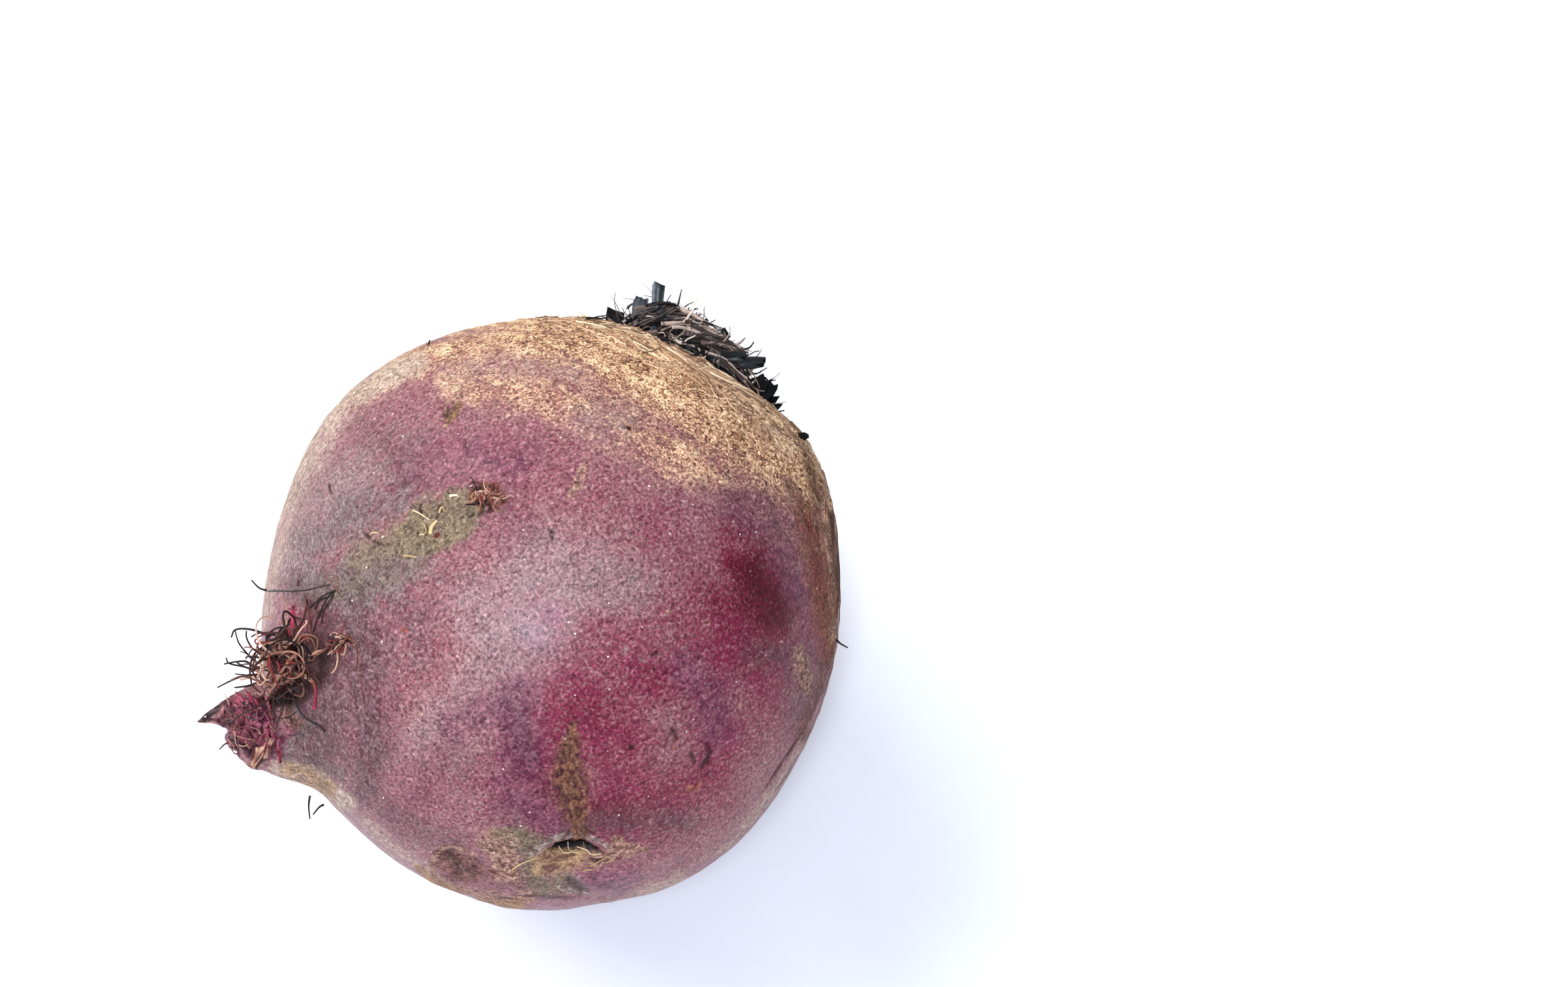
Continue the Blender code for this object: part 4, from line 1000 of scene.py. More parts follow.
# Rotted and dried leaf stalk: fibrous, nearly black with grey and straw where its veins are bare.
# It reads as dull charred strips with a few light fibres and hardly any shine.
stalkLook = {
    "name": "witheredLeafStalk", "grain": 0.3, "patch": 1.8, "contrast": 0.3, "relief": 0.15,
    "roughness": (0.55, 0.85), "ior": 1.45, "gloss": 0.12,
    "tones": [(0.0, "#020203"), (0.16, "#130d0c"), (0.32, "#362a26"), (0.42, "#4b4844"), (0.54, "#6e574b"),
              (0.72, "#a99384"), (1.0, "#e2d0be")],
}
stalks = {
    "seed": 11, "sink": 1.2,
    # rings of stubs: reach from the middle, how many, lean outward, length
    "rings": [(10.8, 9, 46, 2.2), (8.0, 9, 36, 3.0), (5.2, 7, 24, 3.8), (2.2, 4, 8, 3.6)],
    # how they vary: shares of reach, lean and length, then width, thickness, droop, twist, tone
    "stubs": [(0.88, 1.08), (0.7, 1.2), (0.6, 1.15), (1.4, 3.2), (0.4, 0.8), (-0.3, 0.7), (-0.5, 0.5),
              (0.1, 0.5)],
    # the matted mound of torn strips and shredded veins, which falls off to its edge
    "strips": 190, "shreds": 1050, "moundRadius": 14.2, "moundEdge": (14.6, 4.5), "moundHeight": 6.0,
    "low": (7, 0.6), "lowest": (9, 0.16), "black": (9.5, 0.12),  # right of this: shares of height, tone
    # share that swirls one way; how the fibres rise and splay outward, to the left and at the right end
    "swirl": 0.85, "rise": (-0.3, 0.14), "splay": (-0.3, 0.5), "rightSplay": (-0.5, 0.1), "rightFrom": 6,
    "moundTones": (0.12, 0.26, 0.44, 0.6, 0.76, 0.92),
    "strip": [(3.0, 7.5), (0.5, 1.5), (0.3, 0.5), (-0.5, 0.3)], "stripShade": 0.62,  # length to droop
    "shredLength": (3.0, 7.5), "shredCurl": (0.05, 0.5), "shredThickness": (0.24, 0.5),
    # thin stiff hairs that stand out: reach, lean and length, then thickness and tone
    "spikes": 8, "spikeStand": [(2, 12), (0.2, 1.1), (4.5, 8.0)], "spikeForm": [(0.2, 0.36), (0.25, 0.6)],
    "wispForm": {"thickness": (0.26, 0.75), "tones": (0.1, 0.2, 0.32, 0.44, 0.56, 0.7)},
    # wavy fibres over the mat: how many, spread in pixels, place on the crown as deep as they are, pixels
    "wisps": [
        (46, 4, (-7, 13), [(962, 497), (978, 485), (1004, 478), (1030, 472), (1050, 479)]),
        (40, 4, (-6, 13), [(974, 502), (1000, 493), (1030, 486), (1060, 491), (1088, 504)]),
        (30, 5, (0, 12), [(1008, 500), (1045, 497), (1080, 508), (1112, 524)]),
        (26, 4, (3, 12), [(1050, 517), (1085, 522), (1118, 536), (1140, 552)]),
        (24, 4, (8, 10), [(1086, 548), (1115, 560), (1140, 578), (1158, 598)]),
    ],
    # tone, thickness in mm, points: pixel of the photograph and mm nearer than the first
    "threads": [
        (0.3, 0.4, [(1041, 470, 0), (1044, 456, 0), (1047, 444, 0)]),
        (0.5, 0.3, [(1051, 472, 0), (1058, 467, 0), (1066, 464, 0)]),
        (0.12, 0.35, [(884, 490, 0), (905, 488, 0.2), (925, 489, 0.2), (943, 486, 0)]),
        (0.2, 0.3, [(896, 492, 0), (920, 486, 0.3), (936, 484, 0.4)]),
    ],
    "flake": ((1229, 672), (1243, 667), 1.5),  # dark scrap on the right outline: foot, tip, width in mm
}
crown = globe["crown"]
across = squareTo(crown, unit(-59, 8))  # to the right along the crown's edge, as the camera sees it
forward = np.cross(across, crown)  # over the crown towards the camera


def outwardAt(turn):  # away from the crown's middle
    return across * cos(turn) + forward * sin(turn)


def crownPoint(x, y, lift):
    return overSkin(normalised(crown * globe["plate"] + across * x + forward * y), lift)


def makeStalks():
    rng = random.Random(stalks["seed"])
    store = newStore()

    sink = stalks["sink"]
    for ring, (reach, count, lean, length) in enumerate(stalks["rings"]):
        for k in range(count):
            turn = 2 * pi * (k + 0.5 * ring) / count + rng.uniform(-0.2, 0.2)
            far, leaning, tall, width, thickness, droop, twist, tone = drawn(rng, stalks["stubs"])
            way = np.array([cos(turn), sin(turn)])
            x, y = reach * far * way
            tiltX, tiltY = np.sin(np.radians(lean * leaning * way))
            tilt = across * tiltX + forward * tiltY
            upright = crown * max(0.2, sqrt(max(0.0, 1 - tilt @ tilt)))
            outward = normalised(across * x + forward * y + 0.01 * across)
            wide = turnedAbout(np.cross(crown, outward), crown, twist)
            addBlade(store, crownPoint(x, y, -sink), upright + tilt, wide, length * tall + sink, width,
                     thickness, droop, tone, rng)

    # the mound swirls round the neck
    edge, slope = stalks["moundEdge"]
    for k in range(stalks["strips"] + stalks["shreds"]):
        turn = rng.uniform(0, 2 * pi)
        out = stalks["moundRadius"] * sqrt(rng.random())
        x, y, outward = out * cos(turn), out * sin(turn), outwardAt(turn)
        swirl = np.cross(crown, outward) * (1 if rng.random() < stalks["swirl"] else -1)
        height = stalks["moundHeight"] * min(1.0, (edge - out) / slope) * rng.random() ** 0.7
        if x > stalks["low"][0]:
            height *= stalks["low" if x < stalks["lowest"][0] else "lowest"][1]
        splay = rng.uniform(*stalks["rightSplay" if x > stalks["rightFrom"] else "splay"])
        heading = swirl + crown * rng.uniform(*stalks["rise"]) + outward * splay
        tone = rng.choice(stalks["moundTones"]) + rng.uniform(-0.08, 0.08)
        if x > stalks["black"][0]:
            tone *= stalks["black"][1]
        if k < stalks["strips"]:
            addBlade(store, crownPoint(x, y, 0.85 * height), heading, outward + 0.4 * anyDirection(rng),
                     *drawn(rng, stalks["strip"]), stalks["stripShade"] * tone, rng)
        else:
            path = curled(crownPoint(x, y, height), heading, rng.uniform(*stalks["shredLength"]),
                          anyDirection(rng) * rng.uniform(*stalks["shredCurl"]), rng, steps=8, shake=0.22)
            thickness = rng.uniform(*stalks["shredThickness"])
            addStrand(store, keptOff(path, lift=0.05), thickness, tone, taper=0.5, flat=0.55)

    for count, spread, foot, pixels in stalks["wisps"]:
        depth = (crownPoint(*foot, 3.0) - eye) @ ahead
        for k in range(count):
            shiftX, shiftY, nearer = rng.gauss(0, spread), rng.gauss(0, spread), rng.uniform(-1.5, 1.5)
            wavy = [(x + shiftX, y + shiftY + rng.gauss(0, 5)) for x, y in pixels]
            path = smoothPath([eye + sight(x, y) * (depth - nearer) for x, y in wavy], 5)
            first = rng.randrange(len(path) - 8)
            path = keptOff(path[first:first + rng.randint(7, 13)], lift=0.1)
            addVaried(store, path, stalks["wispForm"], rng, flat=0.4)
    for tone, thickness, points in stalks["threads"]:
        addStrand(store, threadPath(points), thickness, tone)
    foot, tip, width = stalks["flake"]
    base = seenAt(*foot)
    lean = threadPath([(*foot, 0), (*tip, 0.3)])[-1] - base
    addBlade(store, base - 0.5 * normalised(lean), lean, np.cross(lean, ahead), np.linalg.norm(lean) + 0.5,
             width, 0.5, 0.2, 0.1, rng)
    for k in range(stalks["spikes"]):
        turn = 2.4 * k
        out, lean, length = drawn(rng, stalks["spikeStand"])
        path = curled(crownPoint(out * cos(turn), out * sin(turn), 0.5), crown + lean * outwardAt(turn),
                      length, anyDirection(rng) * 0.08, rng, steps=7, shake=0.04)
        addStrand(store, path, *drawn(rng, stalks["spikeForm"]), taper=0.3)
    makePiece("witheredStalks", store, fibreMaterial(stalkLook), "leaf_stubs")


makeStalks()


# Weathered leaf base: dense fibres, bleached outside. It reads as dull blue-grey strips, the rotted
# ones black.
baseLook = {
    "name": "weatheredLeafBase", "grain": 0.35, "patch": 2.0, "contrast": 0.4, "relief": 0.15,
    "roughness": (0.55, 0.85), "ior": 1.45, "gloss": 0.15,
    "tones": [(0.0, "#040404"), (0.2, "#131314"), (0.4, "#303335"), (0.58, "#4e5556"), (0.78, "#787e7c"),
              (1.0, "#b4b6b0")],
}
bases = {
    "seed": 3, "sink": 1.2, "droop": (-0.1, 0.15), "hollow": 0.06,
    # foot across and forward on the crown, pixel of its tip, mm nearer, width, end width, thickness, tone
    "standing": [
        (-11, 8.6, (946, 472), 0, 2.4, 2.8, 0.6, 0.14),
        (-5.6, 11.4, (984, 456), 0.6, 2, 2.2, 0.6, 0.5),
        (-4.8, 10.4, (1000, 468), 0.4, 2, 1.8, 0.6, 0.42),
        (-2.4, 11.2, (1012, 434), 0.6, 1.8, 1.9, 0.6, 0.46),
        (-3.4, 10, (1028, 464), 0.5, 2.4, 2, 0.5, 0.4),
        (-2.4, 9, (1054, 480), 0.5, 2.4, 2, 0.5, 0.42),
        (0, 8, (1088, 491), 0.5, 2, 1.6, 0.5, 0.36),
        (3, 8, (1118, 510), 0.5, 2.2, 1.6, 0.5, 0.34),
        (4, 10.6, (1174, 556), 2, 2.8, 1.6, 0.7, 0.26),
        (3, 11.2, (1146, 549), 2.2, 2.2, 1.8, 0.6, 0.36),
        (12.6, 3.4, (1178, 572), 0.5, 2.4, 1.6, 1.4, 0.04),
        (13.4, 2.4, (1191, 582), 0.2, 2.6, 2, 1.4, 0.04),
        (14, 1.4, (1199, 606), 0.4, 3, 2.4, 1.4, 0.02),
        (12.4, 5, (1162, 588), 1, 3, 2.4, 1.2, 0.05),
    ],
}


def makeBases():
    rng = random.Random(bases["seed"])
    store = newStore()
    for x, y, pixel, nearer, width, endWidth, thickness, tone in bases["standing"]:
        foot = crownPoint(x, y, -bases["sink"])
        lean = eye + sight(*pixel) * ((foot - eye) @ ahead - nearer) - foot
        addBlade(store, foot, lean, np.cross(lean, ahead), np.linalg.norm(lean), width, thickness,
                 rng.uniform(*bases["droop"]), tone, rng, endWidth, bases["hollow"])
    makePiece("leafBases", store, fibreMaterial(baseLook))


makeBases()


# Dry fibres of the old leaf collars, pressed round the neck. They read as thin straw, pale tan and matt.
strawLook = {
    "name": "strawCollarFibre", "grain": 0.4, "patch": 3.0, "contrast": 0.3, "relief": 0.08,
    "roughness": (0.6, 0.85), "ior": 1.45, "gloss": 0.2,
    "tones": [(0.0, "#3c2a20"), (0.3, "#7c5f49"), (0.6, "#b5926f"), (1.0, "#ecd5ae")],
}
straw = {
    "seed": 23, "count": 760, "from": 17.5, "to": 40.0,  # degrees from the crown
    # degrees: length round the crown at this distance from it, drift and waver along the way
    "spans": (4, 17), "spansAt": 22, "drift": (-3.0, 3.0), "waver": 0.6,
    # mm over the skin at most and the degrees that this rises over; share that stands off, and how far
    "lift": 0.45, "liftOver": 20, "standing": (0.25, 0.9), "bundleLift": (0.02, 0.3),
    "form": {"thickness": (0.2, 0.42), "tones": (0.2, 0.45, 0.6, 0.8)},
    "bundleForm": {"thickness": (0.18, 0.38), "tones": (0.35, 0.6, 0.75, 0.95)},
    # bundles along the collar's rim: fibres in each, spread in pixels, pixels of its path
    "bundles": [
        (34, 4, [(884, 491), (925, 491), (965, 497), (1000, 508)]),
        (26, 6, [(905, 500), (950, 502), (990, 512), (1015, 524)]),
        (26, 5, [(940, 490), (975, 502), (1012, 520)]),
        (44, 4, [(1015, 528), (1050, 548), (1090, 574), (1130, 592)]),
        (34, 4, [(1110, 584), (1150, 601), (1185, 618), (1210, 634)]),
    ],
}


def makeStraw():
    rng = random.Random(straw["seed"])
    store = newStore()
    for k in range(straw["count"]):
        away = straw["from"] + (straw["to"] - straw["from"]) * rng.random() ** 1.3
        turn = rng.uniform(0, 2 * pi)
        length = radians(rng.uniform(*straw["spans"])) * rng.choice((-1, 1)) * straw["spansAt"] / away
        drift = rng.uniform(*straw["drift"])
        lift = rng.uniform(0.0, straw["lift"]) * (straw["to"] - away) / straw["liftOver"]
        share, highest = straw["standing"]
        rise = rng.uniform(0, highest) if rng.random() < share else 0.0
        path = []
        for step in range(8):
            share = step / 7
            polar = radians(away + drift * share + straw["waver"] * sin(3 * share + turn))
            a = turn + length * share
            direction = cos(polar) * crown + sin(polar) * outwardAt(a)
            path.append(overSkin(normalised(direction), lift + rise * share ** 2))
        addVaried(store, np.array(path), straw["form"], rng, flat=0.5)
    for count, spread, pixels in straw["bundles"]:
        for k in range(count):
            shiftX, shiftY, fan = (rng.gauss(0, spread) for value in range(3))
            path = [(x + shiftX, y + shiftY * (0.5 + j / 2) + 0.3 * fan * j)
                    for j, (x, y) in enumerate(pixels)]
            path = smoothPath(seen(*path), 6)
            first = rng.randrange(len(path) - 7)
            path = keptOff(path[first:first + rng.randint(6, 12)], rng.uniform(*straw["bundleLift"]))
            addVaried(store, path, straw["bundleForm"], rng, flat=0.6)
    makePiece("strawCollar", store, fibreMaterial(strawLook))


makeStraw()


# Dried rootlet: a thin brown bark over a stringy core, a few still fresh and bright pink. It reads as
# matt curled threads that run from near black to tan.
rootletLook = {
    "name": "driedRootlet", "grain": 0.3, "patch": 1.8, "contrast": 0.12, "relief": 0.06,
    "roughness": (0.4, 0.75), "ior": 1.45, "gloss": 0.3,
    "tones": [(0.0, "#060303"), (0.16, "#200b0a"), (0.34, "#50281f"), (0.5, "#8c5f4c"), (0.62, "#c79f86"),
              (0.7, "#742c22"), (0.78, "#7a1c2e"), (0.86, "#b3304c"), (0.9, "#330e18"), (1.0, "#8a4a55")],
}
rootlets = {
    "seed": 5,
    # places in pixels, all else in mm; curl is the turn at each step
    "tangle": {"knot": (452, 1012), "count": 84, "radius": 3.4, "depth": 44, "height": 2.2,
               "length": (5.0, 12.0), "curl": (0.12, 0.42), "thickness": (0.24, 0.48),
               "tones": (0.04, 0.2, 0.3, 0.44, 0.56, 0.6, 0.7, 0.76)},
    "runner": {"pixels": [(486, 1004), (504, 1000), (520, 993), (535, 982)], "radius": 0.28,
               "thickness": 0.42, "tones": (0.42, 0.55, 0.3, 0.16)},
    "sideTuft": {"count": 34, "length": (1.2, 4.0), "curl": (0.2, 0.6), "thickness": (0.2, 0.36),
                 "tones": (0.12, 0.3, 0.42, 0.55, 0.62, 0.7)},
    "scar": {"middle": (748, 765), "count": 30, "radius": 1.9, "length": (1.0, 3.0), "curl": (0.1, 0.5),
             "thickness": (0.2, 0.42), "tones": (0.1, 0.3, 0.45, 0.56, 0.64, 0.7)},
    # torn flaps and fibres of the wound
    "wound": {"wide": (352, 424), "high": (1078, 1156), "down": ((372, 1084), (402, 1150))},
    "flaps": {"count": 20, "lift": (0.1, 0.5), "tones": (0.94, 0.96, 0.98, 1.02),
              "form": [(1.4, 3.0), (0.4, 0.9), (0.25, 0.5), (-1.2, 1.2)]},  # length, width, thickness, droop
    "fibres": {"count": 44, "length": (1.2, 3.6), "curl": 0.2, "thickness": (0.2, 0.42),
               "tones": (0.1, 0.34, 0.5, 0.58, 0.94, 0.97, 1.02)},
    # tone, end tone, thickness in mm, then points: pixel of the photograph and mm nearer than the first
    "threads": [
        (0.82, 0.86, 0.95, (447, 992, 0), (446, 972, 1.2), (453, 954, 1), (451, 942, 0.8), (455, 930, 0.6)),
        (0.62, 0.5, 0.32, (446, 984, 0), (439, 966, 1.2), (442, 943, 1.4), (434, 914, 0.6)),
        (0.4, 0.3, 0.36, (478, 972, 0), (475, 947, 0.9), (468, 914, 0.4)),
        (0.58, 0.84, 0.75, (455, 1030, 0), (484, 1042, 1.6), (503, 1060, 1.4), (504, 1080, 0.3)),
        (0.62, 0.6, 0.38, (440, 1040, 0), (462, 1032, 1.4), (452, 1012, 1.8), (464, 1022, 1.6),
         (463, 1046, 1)),
        (0.72, 0.72, 0.6, (462, 978, 0), (476, 978, 1), (484, 986, 0.8)),
        (0.66, 0.6, 0.4, (392, 1030, 0), (420, 1042, 1.2), (455, 1052, 1.4), (462, 1030, 1)),
        (0.45, 0.5, 0.34, (400, 1052, 0), (420, 1036, 1.2), (450, 1036, 1.6)),
        (0.1, 0, 0.42, (412, 976, 0), (386, 967, 0.3), (362, 967, 0.2), (355, 979, 0)),
        (0.12, 0.05, 0.38, (394, 1020, 0), (376, 1000, 0.2), (366, 986, 0.2), (361, 968, 0.2)),
        (0.1, 0.05, 0.44, (394, 1030, 0), (380, 1017, 0.4), (366, 1016, 0.2), (344, 1020, 0)),
        (0.1, 0.05, 0.4, (392, 1030, 0), (374, 1024, 0.3), (352, 1019, 0.2), (347, 1010, 0.2)),
        (0.14, 0.05, 0.42, (398, 1036, 0), (376, 1038, 0.5), (356, 1045, 0.3), (334, 1056, 0)),
        (0.14, 0.05, 0.37, (396, 1042, 0), (384, 1038, 0.3), (361, 1035, 0.2)),
        (0.1, 0.05, 0.44, (394, 1050, 0), (378, 1054, 0.3), (360, 1056, 0.2)),
        (0.1, 0.05, 0.38, (410, 907, 0), (398, 903, 0.2), (386, 891, 0)),
        (0.3, 0.2, 0.32, (352, 1140, 0), (344, 1144, 0.3), (337, 1151, 0.2)),
        (0.12, 0.05, 0.38, (476, 1222, 0), (474, 1238, 0.4), (476, 1258, 0.2)),
        (0.12, 0.05, 0.42, (497, 1236, 0), (490, 1240, 0.4), (481, 1251, 0)),
        (0.1, 0.05, 0.4, (1284, 982, 0), (1290, 988, 0.2), (1302, 995, 0)),
        (0.2, 0.1, 0.34, (658, 530, 0), (660, 522, 0.2)),
        (0.5, 0.5, 0.3, (398, 1040, 0), (392, 1015, 1.4), (398, 985, 1.8), (424, 972, 1.6), (446, 986, 0.8)),
        (0.56, 0.6, 0.32, (404, 1044, 0), (400, 1010, 1.8), (414, 984, 2), (440, 980, 1.4)),
        (0.3, 0.4, 0.34, (400, 1050, 0), (388, 1030, 1), (396, 1004, 1.4), (420, 990, 1.2)),
        (0.6, 0.6, 0.34, (370, 1044, 0), (396, 1040, 1.6), (430, 1052, 2), (462, 1048, 1.6),
         (468, 1020, 1)),
        (0.66, 0.6, 0.3, (458, 1044, 0), (470, 1022, 1.6), (480, 996, 1.4), (470, 984, 0.8)),
    ],
    # fine dark roots pressed on the skin
    "pressed": [
        (0.06, 0.3, [(482, 970), (492, 940), (508, 912), (516, 908)]),
        (0.06, 0.26, [(476, 934), (496, 916), (520, 904)]),
        (0.05, 0.24, [(412, 908), (440, 908), (466, 907), (490, 902), (508, 898)]),
        (0.1, 0.28, [(494, 958), (500, 934), (512, 914)]),
        (0.08, 0.34, [(484, 936), (492, 922), (506, 916), (519, 904)]),
        (0.14, 0.24, [(490, 950), (496, 938), (509, 924), (517, 900)]),
        (0.4, 0.3, [(518, 908), (520, 894), (512, 884)]),
        (0.36, 0.26, [(518, 908), (505, 890), (498, 886)]),
        (0.35, 0.25, [(547, 990), (550, 1008), (546, 1030)]),
        (0.7, 0.2, [(551, 1000), (554, 1040), (560, 1088)]),
        (0.45, 0.22, [(533, 1000), (528, 1012), (536, 1024)]),
    ],
    # foot and tip pixels, width in mm
    "stub": [((404, 1156), (386, 1180), 1.6), ((394, 1160), (392, 1178), 1.3),
             ((412, 1144), (404, 1168), 1.1)],
}


def makeRootlets():
    rng = random.Random(rootlets["seed"])
    store = newStore()
    tangle, runner, tuft, scar, wound, flaps, fibres = (
        rootlets[name] for name in ("tangle", "runner", "sideTuft", "scar", "wound", "flaps", "fibres"))
    knot = normalised(seenAt(*tangle["knot"]) - centre)
    up = squareTo(knot, np.array([0.0, 0.0, 1.0]))
    side = np.cross(up, knot)
    for tone, endTone, thickness, *points in rootlets["threads"]:
        path = threadPath(points)
        path[1:] = keptOff(path[1:], lift=0.1)
        addStrand(store, path, thickness, tone, taper=0.55, sides=6, endTone=endTone)
    for tone, thickness, pixels in rootlets["pressed"]:
        path = keptOff(smoothPath(seen(*pixels), 6), lift=0.04)
        addStrand(store, path, thickness, tone, taper=0.5, sides=5)

    # the tangle: loose loops in all directions, brown, red-brown and tan, with painted shade that darkens
    # the strands nearer the skin
    for k in range(tangle["count"]):
        turn, out = rng.uniform(0, 2 * pi), tangle["radius"] * sqrt(rng.random())
        splay = side * cos(turn) + up * sin(turn)
        direction = normalised(knot + splay * out / tangle["depth"])
        heading = knot * rng.uniform(0.0, 0.6) + splay * rng.uniform(-0.8, 0.6) + anyDirection(rng) * 0.8
        curl = normalised(knot * rng.choice((-1, 1)) + anyDirection(rng)) * rng.uniform(*tangle["curl"])
        deep = rng.random()
        path = curled(overSkin(direction, tangle["height"] * deep), heading, rng.uniform(*tangle["length"]),
                      curl, rng, steps=18, shake=0.09)
        # painted shade: the lower a strand starts, the darker its tone
        tone = rng.choice(tangle["tones"]) * (0.25 + 0.85 * deep)
        thickness = rng.uniform(*tangle["thickness"])
        addStrand(store, keptOff(path, lift=0.12), thickness, tone, taper=0.6, sides=5)

    # the twisted runner on the skin and the tuft at its end
    line = smoothPath(seen(*runner["pixels"]), 6)
    for strand, tone in enumerate(runner["tones"]):
        path = []
        for k, point in enumerate(line):
            outward = normalised(point - centre)
            sideways = squareTo(outward, side)
            twist = 0.5 * k + strand * pi / 2
            around = cos(twist) * sideways + (1 + sin(twist)) * outward
            path.append(point + runner["radius"] * around)
        addStrand(store, np.array(path), runner["thickness"], tone, taper=0.7, sides=5)
    for k in range(tuft["count"]):
        start = line[-1 - rng.randrange(len(line) // 2)]
        out = normalised(start - centre)
        heading = up * rng.uniform(-0.5, 1.2) + anyDirection(rng) * 0.7 + out * 0.2
        length, curl = rng.uniform(*tuft["length"]), anyDirection(rng) * rng.uniform(*tuft["curl"])
        path = curled(start, heading, length, curl, rng, steps=9, shake=0.15)
        tone = rng.choice(tuft["tones"])
        addStrand(store, keptOff(path, lift=0.08), rng.uniform(*tuft["thickness"]), tone, taper=0.6)

    # curled root ends on the scar of the olive patch
    middle = seenAt(*scar["middle"])
    out = normalised(middle - centre)
    for k in range(scar["count"]):
        start = middle + squareTo(out, anyDirection(rng)) * scar["radius"] * sqrt(rng.random())
        path = curled(start, squareTo(out, anyDirection(rng)) + 0.3 * out, rng.uniform(*scar["length"]),
                      out * rng.choice((-1, 1)) * rng.uniform(*scar["curl"]), rng, steps=8, shake=0.15)
        addVaried(store, keptOff(path, lift=0.04), scar, rng, taper=0.5, sides=5)
    # torn flaps and fibres of flesh, that run down over the stump's wound
    top, bottom = seen(*wound["down"])
    down = normalised(np.array(bottom) - top)
    for k in range(flaps["count"] + fibres["count"]):
        foot = seenAt(rng.uniform(*wound["wide"]), rng.uniform(*wound["high"]))
        out = normalised(foot - centre)
        heading = squareTo(out, down * rng.choice((-1, 1)) + 0.6 * anyDirection(rng))
        if k < flaps["count"]:
            addBlade(store, foot - 0.5 * out, heading + rng.uniform(*flaps["lift"]) * out,
                     out + 0.6 * anyDirection(rng), *drawn(rng, flaps["form"]), rng.choice(flaps["tones"]),
                     rng)
        else:
            length, curl = rng.uniform(*fibres["length"]), anyDirection(rng) * fibres["curl"]
            path = curled(foot, heading + 0.2 * out, length, curl, rng, steps=8, shake=0.16)
            addVaried(store, keptOff(path, lift=0.06), fibres, rng, taper=0.5, flat=0.6)

    # the broken stub under the stump
    for foot, tip, width in rootlets["stub"]:
        base = seenAt(*foot)
        lean = threadPath([(*foot, 0), (*tip, 0.8)])[-1] - base
        addBlade(store, base - normalised(lean), lean, np.cross(lean, ahead), np.linalg.norm(lean) + 1,
                 width, 1.1, 0.2, 0.44, rng, endWidth=0.8 * width)
    makePiece("rootletTangle", store, fibreMaterial(rootletLook), "rootlets")


makeRootlets()


# Bare plant fibre, bleached. It reads as fine straw-yellow threads with a slight sheen.
bleachedLook = {
    "name": "bleachedFibre", "grain": 0.4, "patch": 1.5, "contrast": 0.2, "relief": 0.05,
    "roughness": (0.5, 0.75), "ior": 1.45, "gloss": 0.3,
    "tones": [(0.0, "#4a3524"), (0.35, "#8e7350"), (0.7, "#c3a772"), (1.0, "#e4d6b0")],
}
bits = [  # tone, thickness in mm, pixels of the photograph, how far its middle stands up in mm
    (0.85, 0.26, [(634, 784), (646, 790), (660, 799)], 0.5),
    (0.72, 0.55, [(661, 820), (665, 810), (671, 800)], 0.35),
    (0.6, 0.4, [(652, 806), (656, 816), (650, 824)], 0.3),
    (0.8, 0.2, [(644, 822), (652, 821)], 0.2),
    (0.95, 0.4, [(691, 762), (703, 761)], 0.15),
    (0.8, 0.2, [(569, 820), (581, 818)], 0.25),
    (0.5, 0.3, [(620, 853), (640, 856)], 0.1),
    (0.55, 0.3, [(674, 788), (680, 780), (684, 786)], 0.3),
    (0.7, 0.26, [(858, 1300), (866, 1308), (880, 1307), (892, 1311)], 0.2),
    (0.85, 0.3, [(872, 1293), (874, 1300), (886, 1305)], 0.6),
    (0.8, 0.24, [(886, 1301), (900, 1303), (908, 1310), (924, 1311)], 0.3),
    (0.6, 0.2, [(896, 1293), (898, 1302)], 0.3),
    (0.7, 0.22, [(786, 1336), (800, 1325), (822, 1318)], 0.25),
    (0.45, 0.25, [(905, 1330), (920, 1320), (936, 1314)], 0.3),
    (0.65, 0.28, [(728, 757), (726, 766), (731, 774)], 0.5),
    (0.6, 0.22, [(895, 1338), (903, 1333), (912, 1336)], 0.3),
    (0.55, 0.2, [(930, 1325), (940, 1316), (944, 1322)], 0.5),
]


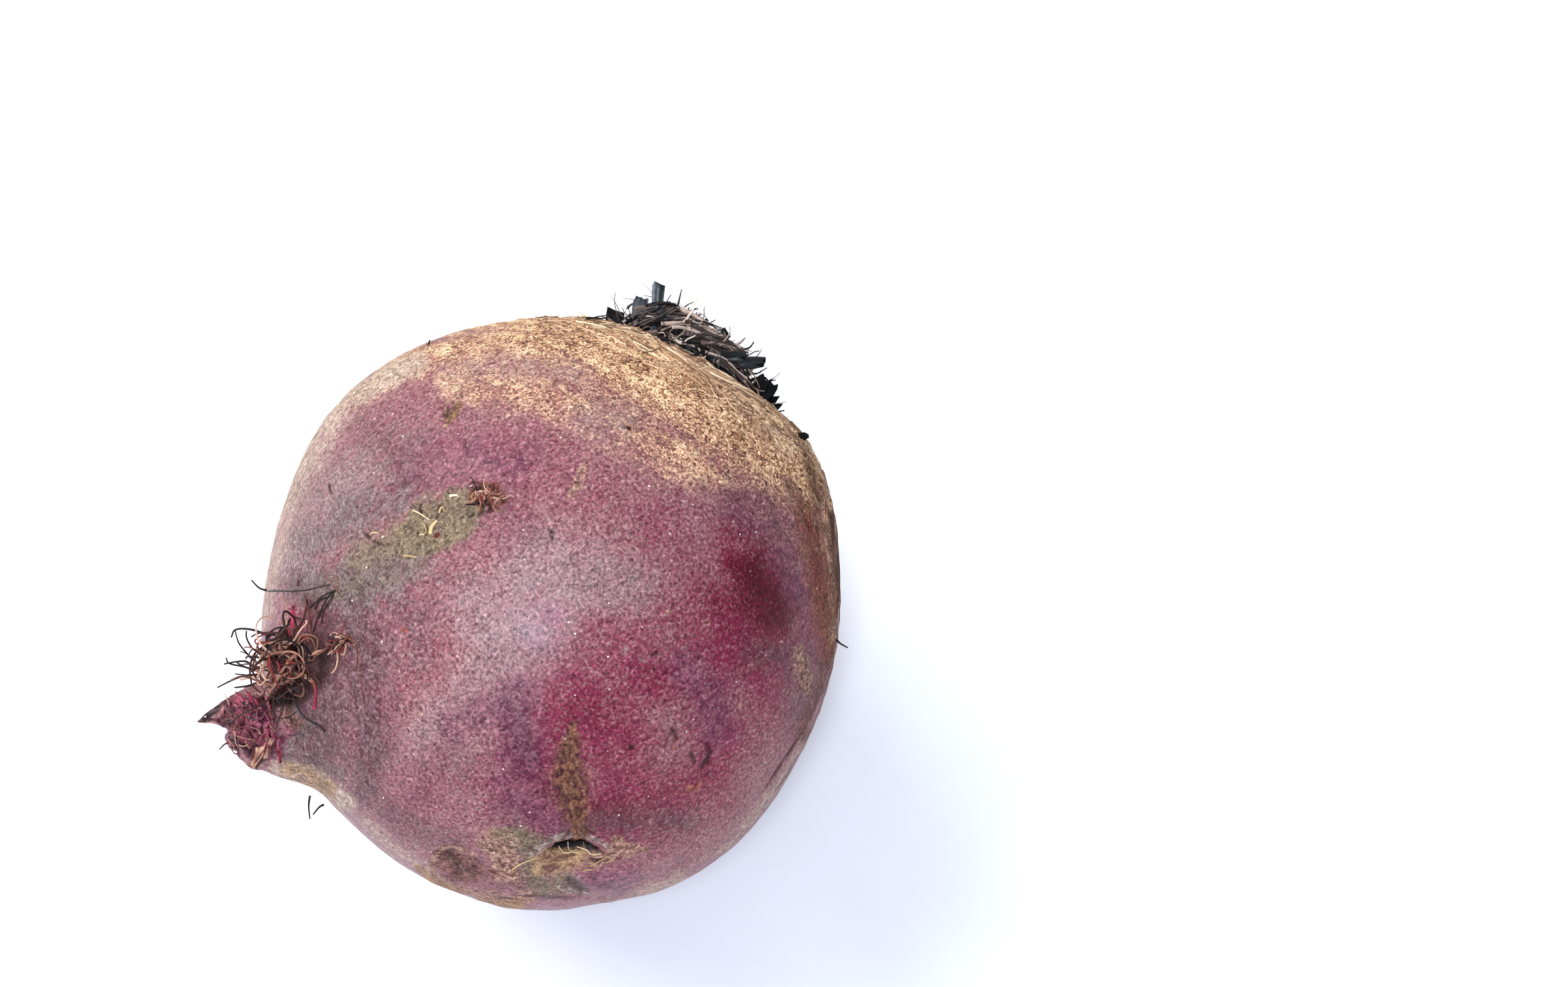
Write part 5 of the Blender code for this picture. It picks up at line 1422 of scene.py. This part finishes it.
def makeBits():  # the fibres that lie on the scars and on the olive patch
    store = newStore()
    for tone, thickness, pixels, rise in bits:
        path = smoothPath(seen(*pixels), 6)
        last = len(path) - 1
        path = np.array([p + normalised(p - centre) * rise * sin(pi * k / last)
                         for k, p in enumerate(path)])
        addStrand(store, keptOff(path, lift=0.0), thickness, tone, taper=0.6, sides=5, flat=0.6)
    makePiece("scarFibres", store, fibreMaterial(bleachedLook))


makeBits()


studio = {
    "floorSize": 8.0, "floorColours": ("#dfe0e2", "#e4e5e7"),  # size in m
    "floorMottle": 5 / 3,  # mm
    "dome": {"Strength": 0.52, "Color": "#f5f9ff"},
    # name, direction from the root, distance and size in m, watts, colour
    "lamps": [
        ("softboxBack", (-0.30, 0.80, 0.95), 1.3, (1.1, 0.9), 20.0, "#ffffff"),
        ("windowOverhead", (-0.32, -0.42, 0.85), 0.75, (0.15, 0.22), 5.5, "#dbe6ff"),
        ("fillFront", (-0.75, -0.65, 0.65), 1.4, (1.0, 1.0), 4.0, "#fffaf4"),
    ],
}


def makeStudio():
    bpy.context.scene.view_settings.view_transform = "Standard"
    bpy.ops.mesh.primitive_plane_add(size=studio["floorSize"], location=(0, 0, 0))
    floor = bpy.context.object
    floor.name = "floor"
    material, add, shader = newMaterial("whitePaperFloor")  # matt white sheet, faintly mottled
    shade = add("TexNoise", {"Scale": 0.5 / (studio["floorMottle"] * mm), "Detail": 2.0})
    ramp = add("ValToRGB", {"Fac": shade}, stops=list(zip((0.3, 0.7), studio["floorColours"])))
    setInputs(shader, {"Base Color": ramp, "Roughness": 0.9, "Specular IOR Level": 0.2})
    floor.data.materials.append(material)
    world = bpy.data.worlds.new("softDome")
    bpy.context.scene.world = world
    world.use_nodes = True
    setInputs(world.node_tree.nodes["Background"], studio["dome"])
    for name, direction, distance, size, watts, colour in studio["lamps"]:
        data = bpy.data.lights.new(name, "AREA")
        data.shape = "RECTANGLE"
        data.size, data.size_y = size
        data.energy = watts
        data.color = linear(colour)[:3]
        lamp = bpy.data.objects.new(name, data)
        towards = Vector(direction).normalized()
        lamp.location = towards * distance + Vector(centre * mm)
        lamp.rotation_euler = towards.to_track_quat("Z", "Y").to_euler()
        bpy.context.scene.collection.objects.link(lamp)


makeStudio()
print("floor and light made")
